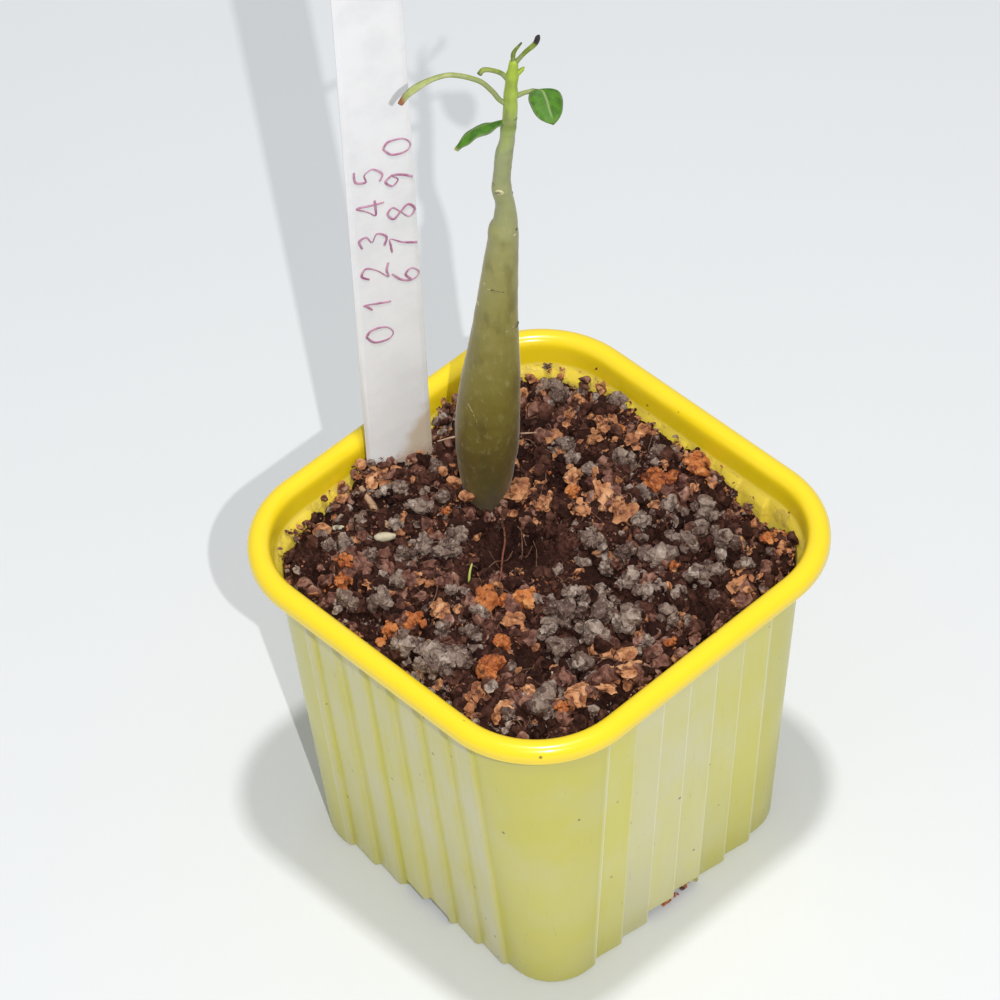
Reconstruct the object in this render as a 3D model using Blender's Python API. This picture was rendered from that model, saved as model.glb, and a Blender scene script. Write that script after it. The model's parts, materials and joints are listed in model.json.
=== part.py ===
"""A desert rose seedling in a small square nursery pot, with its plant label.

The origin is the middle of the pot's base, +Z is up and the pot's sides face along X and Y.
Everything is in metres.
"""

import math
import random

import bmesh
import bpy
from mathutils import Matrix, Vector, noise

MM = 0.001
GAP = 0.3 * MM

# Pot: a half side is measured square to the side, a corner is the outline's radius there.
POT_HEIGHT = 72.2 * MM
WALL = 0.8 * MM
BASE_HALF = 29.9 * MM
BASE_CORNER = 8.6 * MM
BASE_EDGE = 0.7 * MM
FLOOR_THICKNESS = 1.0 * MM
FLOOR_FILLET = 0.6 * MM
WALL_TOP_HALF = 35.5 * MM
WALL_TOP_CORNER = 15.6 * MM
COLLAR_HALF = 36.8 * MM
COLLAR_CORNER = 16.2 * MM
COLLAR_WALL = 1.0 * MM
COLLAR_TAPER = 0.2 * MM
LEDGE_RISE = 1.3 * MM
LEDGE_TOP = POT_HEIGHT - 5.9 * MM
WALL_TOP = LEDGE_TOP - LEDGE_RISE
BEAD_RADIUS = 2.0 * MM
BEAD_HALF = 38.0 * MM
BEAD_CORNER = 17.3 * MM
BEAD_LIP = 0.7 * MM
BEAD_SWEEP = math.radians(170.0)
LIP_ROUND = 0.4 * MM
CORNER_STEPS = 6
BEAD_STEPS = 8

PLEATS = 7
PLEAT_PITCH = 6.35 * MM
PLEAT_DEPTH = 0.9 * MM
PLEAT_STEP = 0.7 * MM

NOTCH_WIDTH = 11.5 * MM
NOTCH_HEIGHT = 2.0 * MM
NOTCH_REACH = 4.5 * MM
NOTCH_MARGIN = 2.0 * MM

# Soil: mounds and hollows are (x, y, radius, rise), all in millimetres.
SOIL_LEVEL = 63.6 * MM
SOIL_LIMIT = POT_HEIGHT - 1.0 * MM
MOUNDS = (
    (-32.0, -1.0, 8.0, 3.6),
    (-24.0, 8.0, 7.0, 1.6),
    (0.0, 34.0, 10.0, 3.0),
    (-12.0, 33.0, 6.0, 1.5),
    (30.0, -12.0, 12.0, 1.2),
    (-9.0, -5.0, 8.0, -2.6),
    (17.0, 33.0, 7.0, -2.4),
    (14.0, -26.0, 10.0, 0.8),
)
SOIL_GRID = 32
CRUMB_SIZE = 3.6 * MM
CRUMB_RISE = 1.9 * MM
GRIT_SIZE = 1.7 * MM
GRIT_RISE = 1.9 * MM
GRIT_SLICE = 20.0 * MM

# Lumps and flakes of the mix that lie half sunk in its surface.
CHIPS = 125
CHIP_SEED = 11
CHIP_SPACING = 3.7 * MM
CHIP_SMALLEST = 1.6 * MM
CHIP_LARGEST = 3.5 * MM
CHIP_STAND_LOW = 0.0 * MM
CHIP_STAND_HIGH = 0.8 * MM
CHIP_NARROWEST = 0.6
CHIP_WIDEST = 1.2
CHIP_FROM_TRUNK = 5.8 * MM
CHIP_FROM_LABEL_FACE = 3.4 * MM
CHIP_FROM_LABEL_MIDDLE = 7.5 * MM
FLAKE_SHARE = 0.4
FLAKE_THICKNESS = 1.3 * MM
FLAKE_TOP_SHARE = 0.85
FLAKE_TILT = 0.7
LUMP_SHARE = 0.85
LUMP_TILT = 1.5

# Trunk: stations are (height above the soil, lean from the foot, radius) in millimetres.
FOOT = Vector((-17.9, 4.8, 0.0)) * MM
LEAN_AZIMUTH = math.radians(47.5)
TRUNK = (
    (-22.0, -1.0, 0.45),
    (-15.0, -0.7, 1.1),
    (-7.0, -0.3, 2.1),
    (0.8, 0.1, 2.7),
    (4.2, 0.3, 3.95),
    (8.6, 0.5, 4.7),
    (13.0, 0.8, 5.25),
    (18.8, 1.1, 5.4),
    (28.6, 2.0, 4.9),
    (35.1, 2.7, 4.35),
    (41.5, 3.4, 3.9),
    (47.9, 4.0, 3.42),
    (54.2, 4.8, 3.0),
    (60.4, 5.3, 2.6),
    (63.4, 5.5, 2.25),
    (68.0, 5.6, 1.57),
    (72.6, 5.7, 1.45),
    (78.6, 5.8, 1.39),
    (82.5, 6.2, 1.26),
    (87.8, 6.8, 1.15),
    (93.4, 7.5, 1.0),
    (96.6, 7.9, 0.9),
    (98.6, 8.2, 0.72),
)
TRUNK_RESOLUTION = 5
TRUNK_SHARP = math.radians(40.0)
ROOT_HOLE_TOP = 20.0

# Leaf scars: heights above the soil in millimetres, with a spiral turn from each to the next.
SCAR_HEIGHTS = (34.0, 40.5, 45.5, 50.0, 54.5, 58.5, 62.5, 66.0, 70.0, 73.5, 77.0, 80.5, 84.0, 86.5, 91.5, 96.5)
SCAR_TURN = math.radians(137.5)
SCAR_START = math.radians(-70.0)
SCAR_RADIUS = 0.75 * MM
SCAR_SHAPE = (0.7, 1.15, 0.6)
SCAR_SINK = 0.15 * MM

# Leaves: the height of the foot above the soil, the route from the trunk's middle as
# (azimuth in degrees, out, up), half widths at shares of the route, the roll in degrees
# and the fold of the blade. Lengths are in millimetres.
LEAVES = {
    "leaf_arching": (
        89.5,
        ((235, 1.5, 0.9), (235, 2.7, 3.2), (235, 4.8, 5.7), (235, 9.2, 7.6), (236, 13.5, 6.9),
         (237, 15.9, 5.4), (238, 17.0, 3.0)),
        ((0.0, 0.42), (0.4, 0.42), (0.55, 0.7), (0.75, 1.15), (0.9, 1.0), (1.0, 0.4)),
        35.0,
        0.35,
    ),
    "leaf_right": (
        91.0,
        ((25, 1.4, 0.6), (25, 2.9, 1.6), (22, 4.5, 2.3), (11, 7.1, 1.8), (5, 9.1, -0.9)),
        ((0.0, 0.42), (0.34, 0.45), (0.45, 1.7), (0.6, 2.65), (0.75, 2.6), (0.9, 1.5), (1.0, 0.35)),
        0.0,
        0.12,
    ),
    "leaf_lower_left": (
        85.3,
        ((248, 1.5, 0.5), (248, 3.9, 0.9), (249, 6.2, -0.2), (250, 8.5, -2.7)),
        ((0.0, 0.42), (0.3, 0.5), (0.5, 1.1), (0.7, 1.25), (0.88, 0.8), (1.0, 0.35)),
        15.0,
        0.3,
    ),
    "leaf_top_left": (
        95.0,
        ((225, 1.2, 0.5), (225, 2.3, 1.1), (225, 4.2, 1.7), (225, 5.0, 1.3)),
        ((0.0, 0.36), (0.6, 0.36), (0.82, 0.6), (1.0, 0.36)),
        0.0,
        0.2,
    ),
    "shoot_tip_left": (
        97.5,
        ((227, 0.15, 1.5), (60, 0.2, 3.1), (55, 1.5, 4.8)),
        ((0.0, 0.34), (0.45, 0.45), (1.0, 0.34)),
        60.0,
        0.2,
    ),
    "shoot_tip_right": (
        97.5,
        ((47, 0.9, 1.5), (47, 2.0, 3.0), (47, 3.6, 4.9), (47, 4.0, 6.3)),
        ((0.0, 0.34), (0.4, 0.45), (0.8, 0.6), (1.0, 0.34)),
        60.0,
        0.2,
    ),
}
LEAF_STATIONS = 13
LEAF_SHARP = math.radians(50.0)
BLADE = 0.65 * MM
BLADE_SHOULDER = 0.95
STALK = 0.42 * MM
STALK_TAPER = 0.25

# Label: a point on its left edge, the direction of its width and of its length.
LABEL_WIDTH = 12.0 * MM
LABEL_THICKNESS = 0.7 * MM
LABEL_LENGTH = 140.0 * MM
LABEL_POINT = 32.0 * MM
LABEL_TIP_HALF = 1.0 * MM
LABEL_TOP = 174.0 * MM
LABEL_EDGE = Vector((-33.8, -7.3, 71.4)) * MM
LABEL_AZIMUTH = math.radians(70.0)
LABEL_AXIS = Vector((-0.047, 0.039, 0.998)).normalized()
LABEL_CORNER = 1.6 * MM
LABEL_CORNER_STEPS = 3

UP = Vector((0.0, 0.0, 1.0))


def clear_scene():
    for item in list(bpy.data.objects):
        bpy.data.objects.remove(item, do_unlink=True)


def new_collection(name):
    collection = bpy.data.collections.new(name)
    bpy.context.scene.collection.children.link(collection)
    return collection


def make_material(name, colour, roughness):
    material = bpy.data.materials.new(name)
    material.use_nodes = True
    shader = material.node_tree.nodes["Principled BSDF"]
    shader.inputs["Base Color"].default_value = (*colour, 1.0)
    shader.inputs["Roughness"].default_value = roughness
    shader.inputs["Metallic"].default_value = 0.0
    material.diffuse_color = (*colour, 1.0)
    return material


def add_mesh(name, bm, collection, material=None):
    """Turn a bmesh into an object."""
    mesh = bpy.data.meshes.new(name)
    bm.to_mesh(mesh)
    bm.free()
    item = bpy.data.objects.new(name, mesh)
    collection.objects.link(item)
    if material:
        mesh.materials.append(material)
    return item


def add_curve(name, curve, collection):
    """Turn a curve into a mesh object whose caps are welded to its sides."""
    source = bpy.data.objects.new(name + "_curve", curve)
    collection.objects.link(source)
    graph = bpy.context.evaluated_depsgraph_get()
    solid = bpy.data.meshes.new_from_object(source.evaluated_get(graph))
    bpy.data.objects.remove(source, do_unlink=True)
    bm = bmesh.new()
    bm.from_mesh(solid)
    bpy.data.meshes.remove(solid)
    bmesh.ops.remove_doubles(bm, verts=bm.verts, dist=0.001 * MM)
    return add_mesh(name, bm, collection)


def as_cutter(item):
    item.hide_render = True
    item.display_type = "WIRE"
    return item


def loft(rings):
    """A closed body through rings of equal length, each counterclockwise about the way they advance."""
    bm = bmesh.new()
    loops = [[bm.verts.new(point) for point in ring] for ring in rings]
    count = len(loops[0])
    for low, high in zip(loops, loops[1:]):
        for i in range(count):
            j = (i + 1) % count
            bm.faces.new((low[i], low[j], high[j], high[i]))
    bm.faces.new(list(reversed(loops[0])))
    bm.faces.new(loops[-1])
    return bm


def between(stations, at, column=1):
    """Read a column of a table of stations at a place between two of them."""
    for low, high in zip(stations, stations[1:]):
        if at <= high[0]:
            break
    share = min(max((at - low[0]) / (high[0] - low[0]), 0.0), 1.0)
    return low[column] + share * (high[column] - low[column])


def boolean(item, operation, operand, solver="EXACT"):
    modifier = item.modifiers.new(operation.title(), "BOOLEAN")
    modifier.operation = operation
    modifier.solver = solver
    if isinstance(operand, bpy.types.Collection):
        modifier.operand_type = "COLLECTION"
        modifier.collection = operand
    else:
        modifier.object = operand


def apply_modifiers(item):
    """Replace an object's mesh with its evaluated one and drop its modifiers."""
    graph = bpy.context.evaluated_depsgraph_get()
    mesh = bpy.data.meshes.new_from_object(item.evaluated_get(graph))
    old = item.data
    item.modifiers.clear()
    item.data = mesh
    bpy.data.meshes.remove(old)


def keep_largest(item):
    """Drop loose scraps that a Boolean has left beside the body."""
    bm = bmesh.new()
    bm.from_mesh(item.data)
    seen = set()
    bodies = []
    for start in bm.verts:
        if start in seen:
            continue
        seen.add(start)
        body = [start]
        for vert in body:
            for edge in vert.link_edges:
                other = edge.other_vert(vert)
                if other not in seen:
                    seen.add(other)
                    body.append(other)
        bodies.append(body)
    bodies.sort(key=len)
    for body in bodies[:-1]:
        bmesh.ops.delete(bm, geom=body, context="VERTS")
    bm.to_mesh(item.data)
    bm.free()


def fuse(item, pieces, solver="EXACT"):
    """Join a collection of repeats to the body that they grow from."""
    boolean(item, "UNION", pieces, solver)
    apply_modifiers(item)
    for piece in list(pieces.objects):
        bpy.data.objects.remove(piece, do_unlink=True)
    bpy.data.collections.remove(pieces)
    keep_largest(item)


def pot_ring(half, corner, height, pleat=0.0):
    """One level of the pot: a rounded square whose straight sides step inwards like saw teeth."""
    straight = half - corner
    last_step = (PLEATS - 1) / 2 * PLEAT_PITCH + PLEAT_STEP / 2
    run_in = straight - last_step
    around = 2 * run_in + corner * math.pi / 2
    side = []
    for k in range(PLEATS):
        middle = (k - (PLEATS - 1) / 2) * PLEAT_PITCH
        side.append((middle - PLEAT_STEP / 2, half + pleat / 2))
        side.append((middle + PLEAT_STEP / 2, half - pleat / 2))
    for k in range(CORNER_STEPS + 1):
        angle = k / CORNER_STEPS * math.pi / 2
        share = (run_in + corner * angle) / around
        radius = corner + pleat * (share - 0.5)
        side.append((straight + radius * math.sin(angle), straight + radius * math.cos(angle)))
    ring = []
    for quarter in range(4):
        turn = Matrix.Rotation(quarter * math.pi / 2, 3, "Z")
        ring += [turn @ Vector((along, -out, height)) for along, out in side]
    return ring


def base_ring(height, inset, pleat=PLEAT_DEPTH):
    """A level of the base, inside its rounded lower edge."""
    return pot_ring(BASE_HALF - BASE_EDGE - inset, BASE_CORNER - BASE_EDGE - inset, height, pleat)


def wall_ring(height, inset, pleat=PLEAT_DEPTH):
    """A level of the tapered wall, moved in from its outer face."""
    share = height / WALL_TOP
    half = BASE_HALF + share * (WALL_TOP_HALF - BASE_HALF) - inset
    corner = BASE_CORNER + share * (WALL_TOP_CORNER - BASE_CORNER) - inset
    return pot_ring(half, corner, height, pleat)


def collar_ring(height, inset):
    """A level of the plain band between the ledge and the rolled rim."""
    return pot_ring(COLLAR_HALF - inset, COLLAR_CORNER - inset, height)


def bead_ring(height, out):
    """A level of the rolled rim, at a distance out from the middle of its roll."""
    return pot_ring(BEAD_HALF + out, BEAD_CORNER + out, height)


def make_pot(collection, cutters):
    bead_middle = POT_HEIGHT - BEAD_RADIUS
    lip = bead_middle - BEAD_LIP
    rings = [
        base_ring(0.0, 0.0),
        wall_ring(BASE_EDGE, 0.0),
        wall_ring(WALL_TOP, 0.0),
        collar_ring(LEDGE_TOP, COLLAR_TAPER),
        collar_ring(lip - LIP_ROUND, 0.0),
        bead_ring(lip - 2 * LIP_ROUND, BEAD_RADIUS - 3 * LIP_ROUND),
        bead_ring(lip - LIP_ROUND, BEAD_RADIUS - LIP_ROUND / 2),
        bead_ring(lip, BEAD_RADIUS),
    ]
    for k in range(BEAD_STEPS + 1):
        angle = BEAD_SWEEP * k / BEAD_STEPS
        rings.append(bead_ring(bead_middle + BEAD_RADIUS * math.sin(angle), BEAD_RADIUS * math.cos(angle)))
    rings += [
        collar_ring(LEDGE_TOP + LEDGE_RISE / 3, COLLAR_WALL),
        collar_ring(LEDGE_TOP - LEDGE_RISE / 6, COLLAR_WALL + 2 * COLLAR_TAPER),
        wall_ring(WALL_TOP, WALL),
        wall_ring(FLOOR_THICKNESS + FLOOR_FILLET, WALL),
        base_ring(FLOOR_THICKNESS, WALL),
    ]
    pot = add_mesh("pot", loft(rings), collection, make_material("pot_plastic", (0.83, 0.66, 0.05), 0.3))
    for quarter in range(4):
        boolean(pot, "DIFFERENCE", notch_cutter(quarter, cutters))


def notch_cutter(quarter, cutters):
    """A drain opening through the foot of the wall and the edge of the floor."""
    bm = bmesh.new()
    bmesh.ops.create_cube(bm, size=1.0)
    reach = NOTCH_REACH + NOTCH_MARGIN
    size = Vector((NOTCH_WIDTH, reach, NOTCH_HEIGHT + NOTCH_MARGIN))
    middle = Vector((0.0, reach / 2 - BASE_HALF - NOTCH_MARGIN, (NOTCH_HEIGHT - NOTCH_MARGIN) / 2))
    bmesh.ops.scale(bm, vec=size, verts=bm.verts)
    bmesh.ops.translate(bm, vec=middle, verts=bm.verts)
    bmesh.ops.rotate(bm, matrix=Matrix.Rotation(quarter * math.pi / 2, 3, "Z"), verts=bm.verts)
    return as_cutter(add_mesh(f"notch_cutter_{quarter}", bm, cutters))


def soil_height(x, y):
    """The soil's surface: mounds and hollows with two sizes of crumb on top."""
    height = SOIL_LEVEL
    for mound_x, mound_y, radius, rise in MOUNDS:
        distance = math.hypot(x / MM - mound_x, y / MM - mound_y) / radius
        height += rise * MM * math.exp(-distance * distance)
    crumb = noise.noise(Vector((x, y, 0.0)) / CRUMB_SIZE)
    grit = noise.noise(Vector((y, x, GRIT_SLICE)) / GRIT_SIZE)
    return height + CRUMB_RISE * crumb + GRIT_RISE * grit


def soil_ground(collection):
    """A block with the soil's surface on top, wider than the pot until it is cut to fit."""
    bm = bmesh.new()
    bmesh.ops.create_grid(bm, x_segments=SOIL_GRID, y_segments=SOIL_GRID, size=COLLAR_HALF)
    for vert in bm.verts:
        vert.co.z = soil_height(vert.co.x, vert.co.y)
    rim = [edge for edge in bm.edges if edge.is_boundary]
    for item in bmesh.ops.extrude_edge_only(bm, edges=rim)["geom"]:
        if isinstance(item, bmesh.types.BMVert):
            item.co.z = 0.0
    open_edges = [edge for edge in bm.edges if edge.is_boundary]
    bmesh.ops.holes_fill(bm, edges=open_edges, sides=0)
    bmesh.ops.recalc_face_normals(bm, faces=bm.faces)
    return add_mesh("soil", bm, collection, make_material("soil_mix", (0.06, 0.03, 0.018), 0.95))


def inside_outline(x, y, half, corner):
    """Whether a place lies inside a rounded square."""
    over_x = max(abs(x) - (half - corner), 0.0)
    over_y = max(abs(y) - (half - corner), 0.0)
    return math.hypot(over_x, over_y) < corner


def chip_places(rng):
    """Seeded places for the lumps and flakes, kept apart and clear of the trunk and the label."""
    label = label_middle(SOIL_LEVEL)
    half = WALL_TOP_HALF - WALL - CHIP_SMALLEST
    places = []
    while len(places) < CHIPS:
        x = rng.uniform(-half, half)
        y = rng.uniform(-half, half)
        by_trunk = math.hypot(x - FOOT.x, y - FOOT.y) < CHIP_FROM_TRUNK
        by_label = abs(x - label.x) < CHIP_FROM_LABEL_FACE and abs(y - label.y) < CHIP_FROM_LABEL_MIDDLE
        crowded = any(math.hypot(x - a, y - b) < CHIP_SPACING for a, b in places)
        if inside_outline(x, y, half, WALL_TOP_CORNER) and not (by_trunk or by_label or crowded):
            places.append((x, y))
    return places


def add_chips(pieces):
    rng = random.Random(CHIP_SEED)
    for index, (x, y) in enumerate(chip_places(rng)):
        bm = bmesh.new()
        size = rng.uniform(CHIP_SMALLEST, CHIP_LARGEST)
        if rng.random() < FLAKE_SHARE:
            tilt = FLAKE_TILT
            bmesh.ops.create_cone(
                bm, cap_ends=True, segments=6, radius1=size, radius2=FLAKE_TOP_SHARE * size, depth=FLAKE_THICKNESS)
        else:
            tilt = LUMP_TILT
            bmesh.ops.create_icosphere(bm, subdivisions=1, radius=LUMP_SHARE * size)
        for vert in bm.verts:
            vert.co.x *= rng.uniform(CHIP_NARROWEST, CHIP_WIDEST)
            vert.co.y *= rng.uniform(CHIP_NARROWEST, CHIP_WIDEST)
        spin = Matrix.Rotation(rng.uniform(0.0, math.tau), 3, "Z")
        lean = Matrix.Rotation(rng.uniform(-tilt, tilt), 3, "X")
        bmesh.ops.rotate(bm, matrix=spin @ lean, verts=bm.verts)
        stand = rng.uniform(CHIP_STAND_LOW, CHIP_STAND_HIGH)
        bmesh.ops.translate(bm, vec=Vector((x, y, soil_height(x, y) + stand)), verts=bm.verts)
        add_mesh(f"chip_{index}", bm, pieces)


def soil_space(cutters):
    """The room inside the pot, clear of its floor, walls and ledge."""
    inset = WALL + GAP + PLEAT_DEPTH / 2
    rings = [
        base_ring(FLOOR_THICKNESS + GAP, inset, 0.0),
        wall_ring(FLOOR_THICKNESS + FLOOR_FILLET + GAP, inset, 0.0),
        wall_ring(WALL_TOP, inset, 0.0),
        collar_ring(LEDGE_TOP + LEDGE_RISE / 6, COLLAR_WALL + 2 * COLLAR_TAPER + GAP),
        collar_ring(LEDGE_TOP + LEDGE_RISE, COLLAR_WALL + GAP),
        collar_ring(SOIL_LIMIT, COLLAR_WALL + GAP),
    ]
    return as_cutter(add_mesh("soil_space", loft(rings), cutters))


def make_soil(collection, cutters):
    soil = soil_ground(collection)
    chips = new_collection("chips")
    add_chips(chips)
    fuse(soil, chips, "MANIFOLD")
    boolean(soil, "INTERSECT", soil_space(cutters), "MANIFOLD")
    root_hole = as_cutter(trunk_body("root_hole", cutters, GAP, ROOT_HOLE_TOP))
    boolean(soil, "DIFFERENCE", root_hole, "MANIFOLD")
    label_hole = as_cutter(label_body("label_hole", cutters, GAP))
    boolean(soil, "DIFFERENCE", label_hole, "MANIFOLD")
    apply_modifiers(soil)
    keep_largest(soil)


def trunk_point(height):
    """The middle of the trunk at a height above the soil in millimetres."""
    lean = between(TRUNK, height)
    across = Vector((math.cos(LEAN_AZIMUTH), math.sin(LEAN_AZIMUTH), 0.0))
    return FOOT + (across * lean + UP * height) * MM + UP * SOIL_LEVEL


def trunk_body(name, collection, grow=0.0, top=math.inf):
    """The trunk as a tube of changing radius, grown all over for the hole that it stands in."""
    curve = bpy.data.curves.new(name, "CURVE")
    curve.dimensions = "3D"
    curve.bevel_depth = MM
    curve.bevel_resolution = TRUNK_RESOLUTION
    curve.use_fill_caps = True
    stations = [station for station in TRUNK if station[0] < top]
    spline = curve.splines.new("POLY")
    spline.points.add(len(stations) - 1)
    for point, (height, _, radius) in zip(spline.points, stations):
        point.co = (*trunk_point(height), 1.0)
        point.radius = radius + grow / MM
    spline.points[0].co.z -= grow
    return add_curve(name, curve, collection)


def add_scars(pieces):
    """Raised leaf scars that climb the trunk in a spiral."""
    for index, height in enumerate(SCAR_HEIGHTS):
        azimuth = SCAR_START + index * SCAR_TURN
        out = Vector((math.cos(azimuth), math.sin(azimuth), 0.0))
        place = trunk_point(height) + out * (between(TRUNK, height, 2) * MM - SCAR_SINK)
        bm = bmesh.new()
        bmesh.ops.create_icosphere(bm, subdivisions=1, radius=SCAR_RADIUS)
        bmesh.ops.scale(bm, vec=SCAR_SHAPE, verts=bm.verts)
        bmesh.ops.rotate(bm, matrix=Matrix.Rotation(azimuth, 3, "Z"), verts=bm.verts)
        bmesh.ops.translate(bm, vec=place, verts=bm.verts)
        add_mesh(f"scar_{index}", bm, pieces)


def make_trunk(collection):
    trunk = trunk_body("caudex_stem", collection)
    trunk.data.materials.append(make_material("stem_skin", (0.27, 0.27, 0.07), 0.5))
    scars = new_collection("scars")
    add_scars(scars)
    fuse(trunk, scars)
    trunk.data.shade_smooth()
    trunk.data.set_sharp_from_angle(angle=TRUNK_SHARP)


def smooth_route(points, count):
    """Points on a smooth curve through the given ones."""
    route = []
    last = len(points) - 1
    for k in range(count):
        place = k / (count - 1) * last
        start = min(int(place), last - 1)
        share = place - start
        a = points[max(start - 1, 0)]
        b = points[start]
        c = points[start + 1]
        d = points[min(start + 2, last)]
        bend = (2 * a - 5 * b + 4 * c - d) * share ** 2 + (3 * b - a - 3 * c + d) * share ** 3
        route.append(0.5 * (2 * b + (c - a) * share + bend))
    return route


def leaf_section(half, share, fold):
    """A section of a leaf, from a round stalk to a blade that is folded along its midrib."""
    edge = BLADE_SHOULDER * half
    lift = fold * max(half - STALK, 0.0)
    over = lift + BLADE / 2
    under = lift - BLADE / 2
    rib = max(BLADE / 2, STALK * (1.0 - STALK_TAPER * share))
    return (
        (half, lift), (edge, over), (0.0, rib), (-edge, over),
        (-half, lift), (-edge, under), (0.0, -rib), (edge, under),
    )


def make_leaf(name, collection, material):
    """A stalk that widens into a folded blade along its route."""
    height, points, widths, roll, fold = LEAVES[name]
    root = trunk_point(height)
    corners = []
    for azimuth, out, up in points:
        angle = math.radians(azimuth)
        corners.append(root + Vector((out * math.cos(angle), out * math.sin(angle), up)) * MM)
    route = smooth_route(corners, LEAF_STATIONS)
    last = LEAF_STATIONS - 1
    rings = []
    for index, point in enumerate(route):
        share = index / last
        along = (route[min(index + 1, last)] - route[max(index - 1, 0)]).normalized()
        level = along.cross(UP).normalized()
        level.rotate(Matrix.Rotation(math.radians(roll), 3, along))
        face = along.cross(level)
        section = leaf_section(between(widths, share) * MM, share, fold)
        rings.append([point + level * across + face * rise for across, rise in section])
    leaf = add_mesh(name, loft(rings), collection, material)
    leaf.data.shade_smooth()
    leaf.data.set_sharp_from_angle(angle=LEAF_SHARP)


def label_frame():
    """The label's own directions: across its width, along its length and out of its face."""
    flat = Vector((math.cos(LABEL_AZIMUTH), math.sin(LABEL_AZIMUTH), 0.0))
    across = (flat - LABEL_AXIS * flat.dot(LABEL_AXIS)).normalized()
    return across, LABEL_AXIS, across.cross(LABEL_AXIS)


def label_middle(height):
    """The middle of the label at a height."""
    across, along, _ = label_frame()
    middle = LABEL_EDGE + across * LABEL_WIDTH / 2
    return middle + along * (height - middle.z) / along.z


def label_body(name, collection, grow=0.0):
    """A strip with rounded top corners and a pointed foot, grown all over for the slot that it stands in."""
    half = LABEL_WIDTH / 2 + grow
    tip = LABEL_TIP_HALF + grow
    foot = -LABEL_LENGTH - grow
    shoulder = LABEL_POINT - LABEL_LENGTH
    outline = [(-tip, foot), (tip, foot), (half, shoulder)]
    for middle, first in ((half - LABEL_CORNER, 0.0), (LABEL_CORNER - half, math.pi / 2)):
        for step in range(LABEL_CORNER_STEPS + 1):
            angle = first + step / LABEL_CORNER_STEPS * math.pi / 2
            outline.append((middle + LABEL_CORNER * math.cos(angle), LABEL_CORNER * (math.sin(angle) - 1.0)))
    outline.append((-half, shoulder))
    curve = bpy.data.curves.new(name, "CURVE")
    curve.dimensions = "2D"
    curve.fill_mode = "BOTH"
    curve.extrude = LABEL_THICKNESS / 2 + grow
    spline = curve.splines.new("POLY")
    spline.points.add(len(outline) - 1)
    for point, (x, y) in zip(spline.points, outline):
        point.co = (x, y, 0.0, 1.0)
    spline.use_cyclic_u = True
    item = add_curve(name, curve, collection)
    turn = Matrix(label_frame()).transposed().to_4x4()
    item.matrix_world = Matrix.Translation(label_middle(LABEL_TOP)) @ turn
    return item


def make_label(collection):
    label = label_body("plant_label", collection)
    label.data.materials.append(make_material("label_plastic", (0.85, 0.85, 0.86), 0.45))


def main():
    clear_scene()
    parts = new_collection("potted_desert_rose")
    cutters = new_collection("cutters")
    make_pot(parts, cutters)
    make_soil(parts, cutters)
    make_trunk(parts)
    green = make_material("leaf_green", (0.09, 0.22, 0.03), 0.45)
    for name in LEAVES:
        make_leaf(name, parts, green)
    make_label(parts)


main()
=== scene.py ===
"""The looks of a desert rose seedling in its square nursery pot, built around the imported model.

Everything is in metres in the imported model's frame: the origin is the middle of the pot's base and +Z is up.
"""

import json
import math
import random

import bmesh
import bpy
import numpy as np
from bpy.props import FloatProperty, FloatVectorProperty, IntProperty, PointerProperty
from mathutils import Matrix, Vector, noise
from mathutils.bvhtree import BVHTree

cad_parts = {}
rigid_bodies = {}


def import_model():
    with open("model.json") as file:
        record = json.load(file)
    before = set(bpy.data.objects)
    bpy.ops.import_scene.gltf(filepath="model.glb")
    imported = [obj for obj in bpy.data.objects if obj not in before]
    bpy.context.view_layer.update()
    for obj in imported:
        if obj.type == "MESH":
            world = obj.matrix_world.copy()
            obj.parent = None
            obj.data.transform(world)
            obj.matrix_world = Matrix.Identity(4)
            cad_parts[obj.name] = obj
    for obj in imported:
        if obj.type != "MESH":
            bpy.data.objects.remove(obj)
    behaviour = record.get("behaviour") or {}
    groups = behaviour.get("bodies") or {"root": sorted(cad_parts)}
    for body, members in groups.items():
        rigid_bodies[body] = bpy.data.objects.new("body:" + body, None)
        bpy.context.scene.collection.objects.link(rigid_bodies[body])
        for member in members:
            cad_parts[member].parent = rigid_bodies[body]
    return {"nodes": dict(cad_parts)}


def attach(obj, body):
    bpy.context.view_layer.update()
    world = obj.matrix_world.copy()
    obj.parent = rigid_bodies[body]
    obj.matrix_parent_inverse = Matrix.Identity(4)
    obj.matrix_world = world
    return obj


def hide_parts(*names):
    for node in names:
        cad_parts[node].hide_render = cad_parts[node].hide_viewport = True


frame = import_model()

bl_info = {
    "name": "Potted desert rose",
    "version": (1, 0, 0),
    "blender": (4, 5, 0),
    "location": "3D View > Sidebar > Desert rose",
    "description": "Builds the looks of a desert rose seedling in a square nursery pot with its label",
    "category": "Add Mesh",
}

MM = 0.001
WELD = 0.001 * MM
UP = Vector((0.0, 0.0, 1.0))
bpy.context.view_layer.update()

# The pot's levels, corners, pleats and drain notches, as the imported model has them.
POT_HEIGHT = 72.2 * MM
WALL = 0.8 * MM
BASE_HALF = 29.9 * MM
BASE_CORNER = 8.6 * MM
BASE_EDGE = 0.7 * MM
FLOOR_THICKNESS = 1.0 * MM
FLOOR_FILLET = 0.6 * MM
WALL_TOP_HALF = 35.5 * MM
WALL_TOP_CORNER = 15.6 * MM
COLLAR_HALF = 36.8 * MM
COLLAR_CORNER = 16.2 * MM
COLLAR_WALL = 1.0 * MM
COLLAR_TAPER = 0.2 * MM
LEDGE_RISE = 1.3 * MM
LEDGE_TOP = POT_HEIGHT - 5.9 * MM
WALL_TOP = LEDGE_TOP - LEDGE_RISE
BEAD_RADIUS = 2.0 * MM
BEAD_HALF = 38.0 * MM
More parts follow.
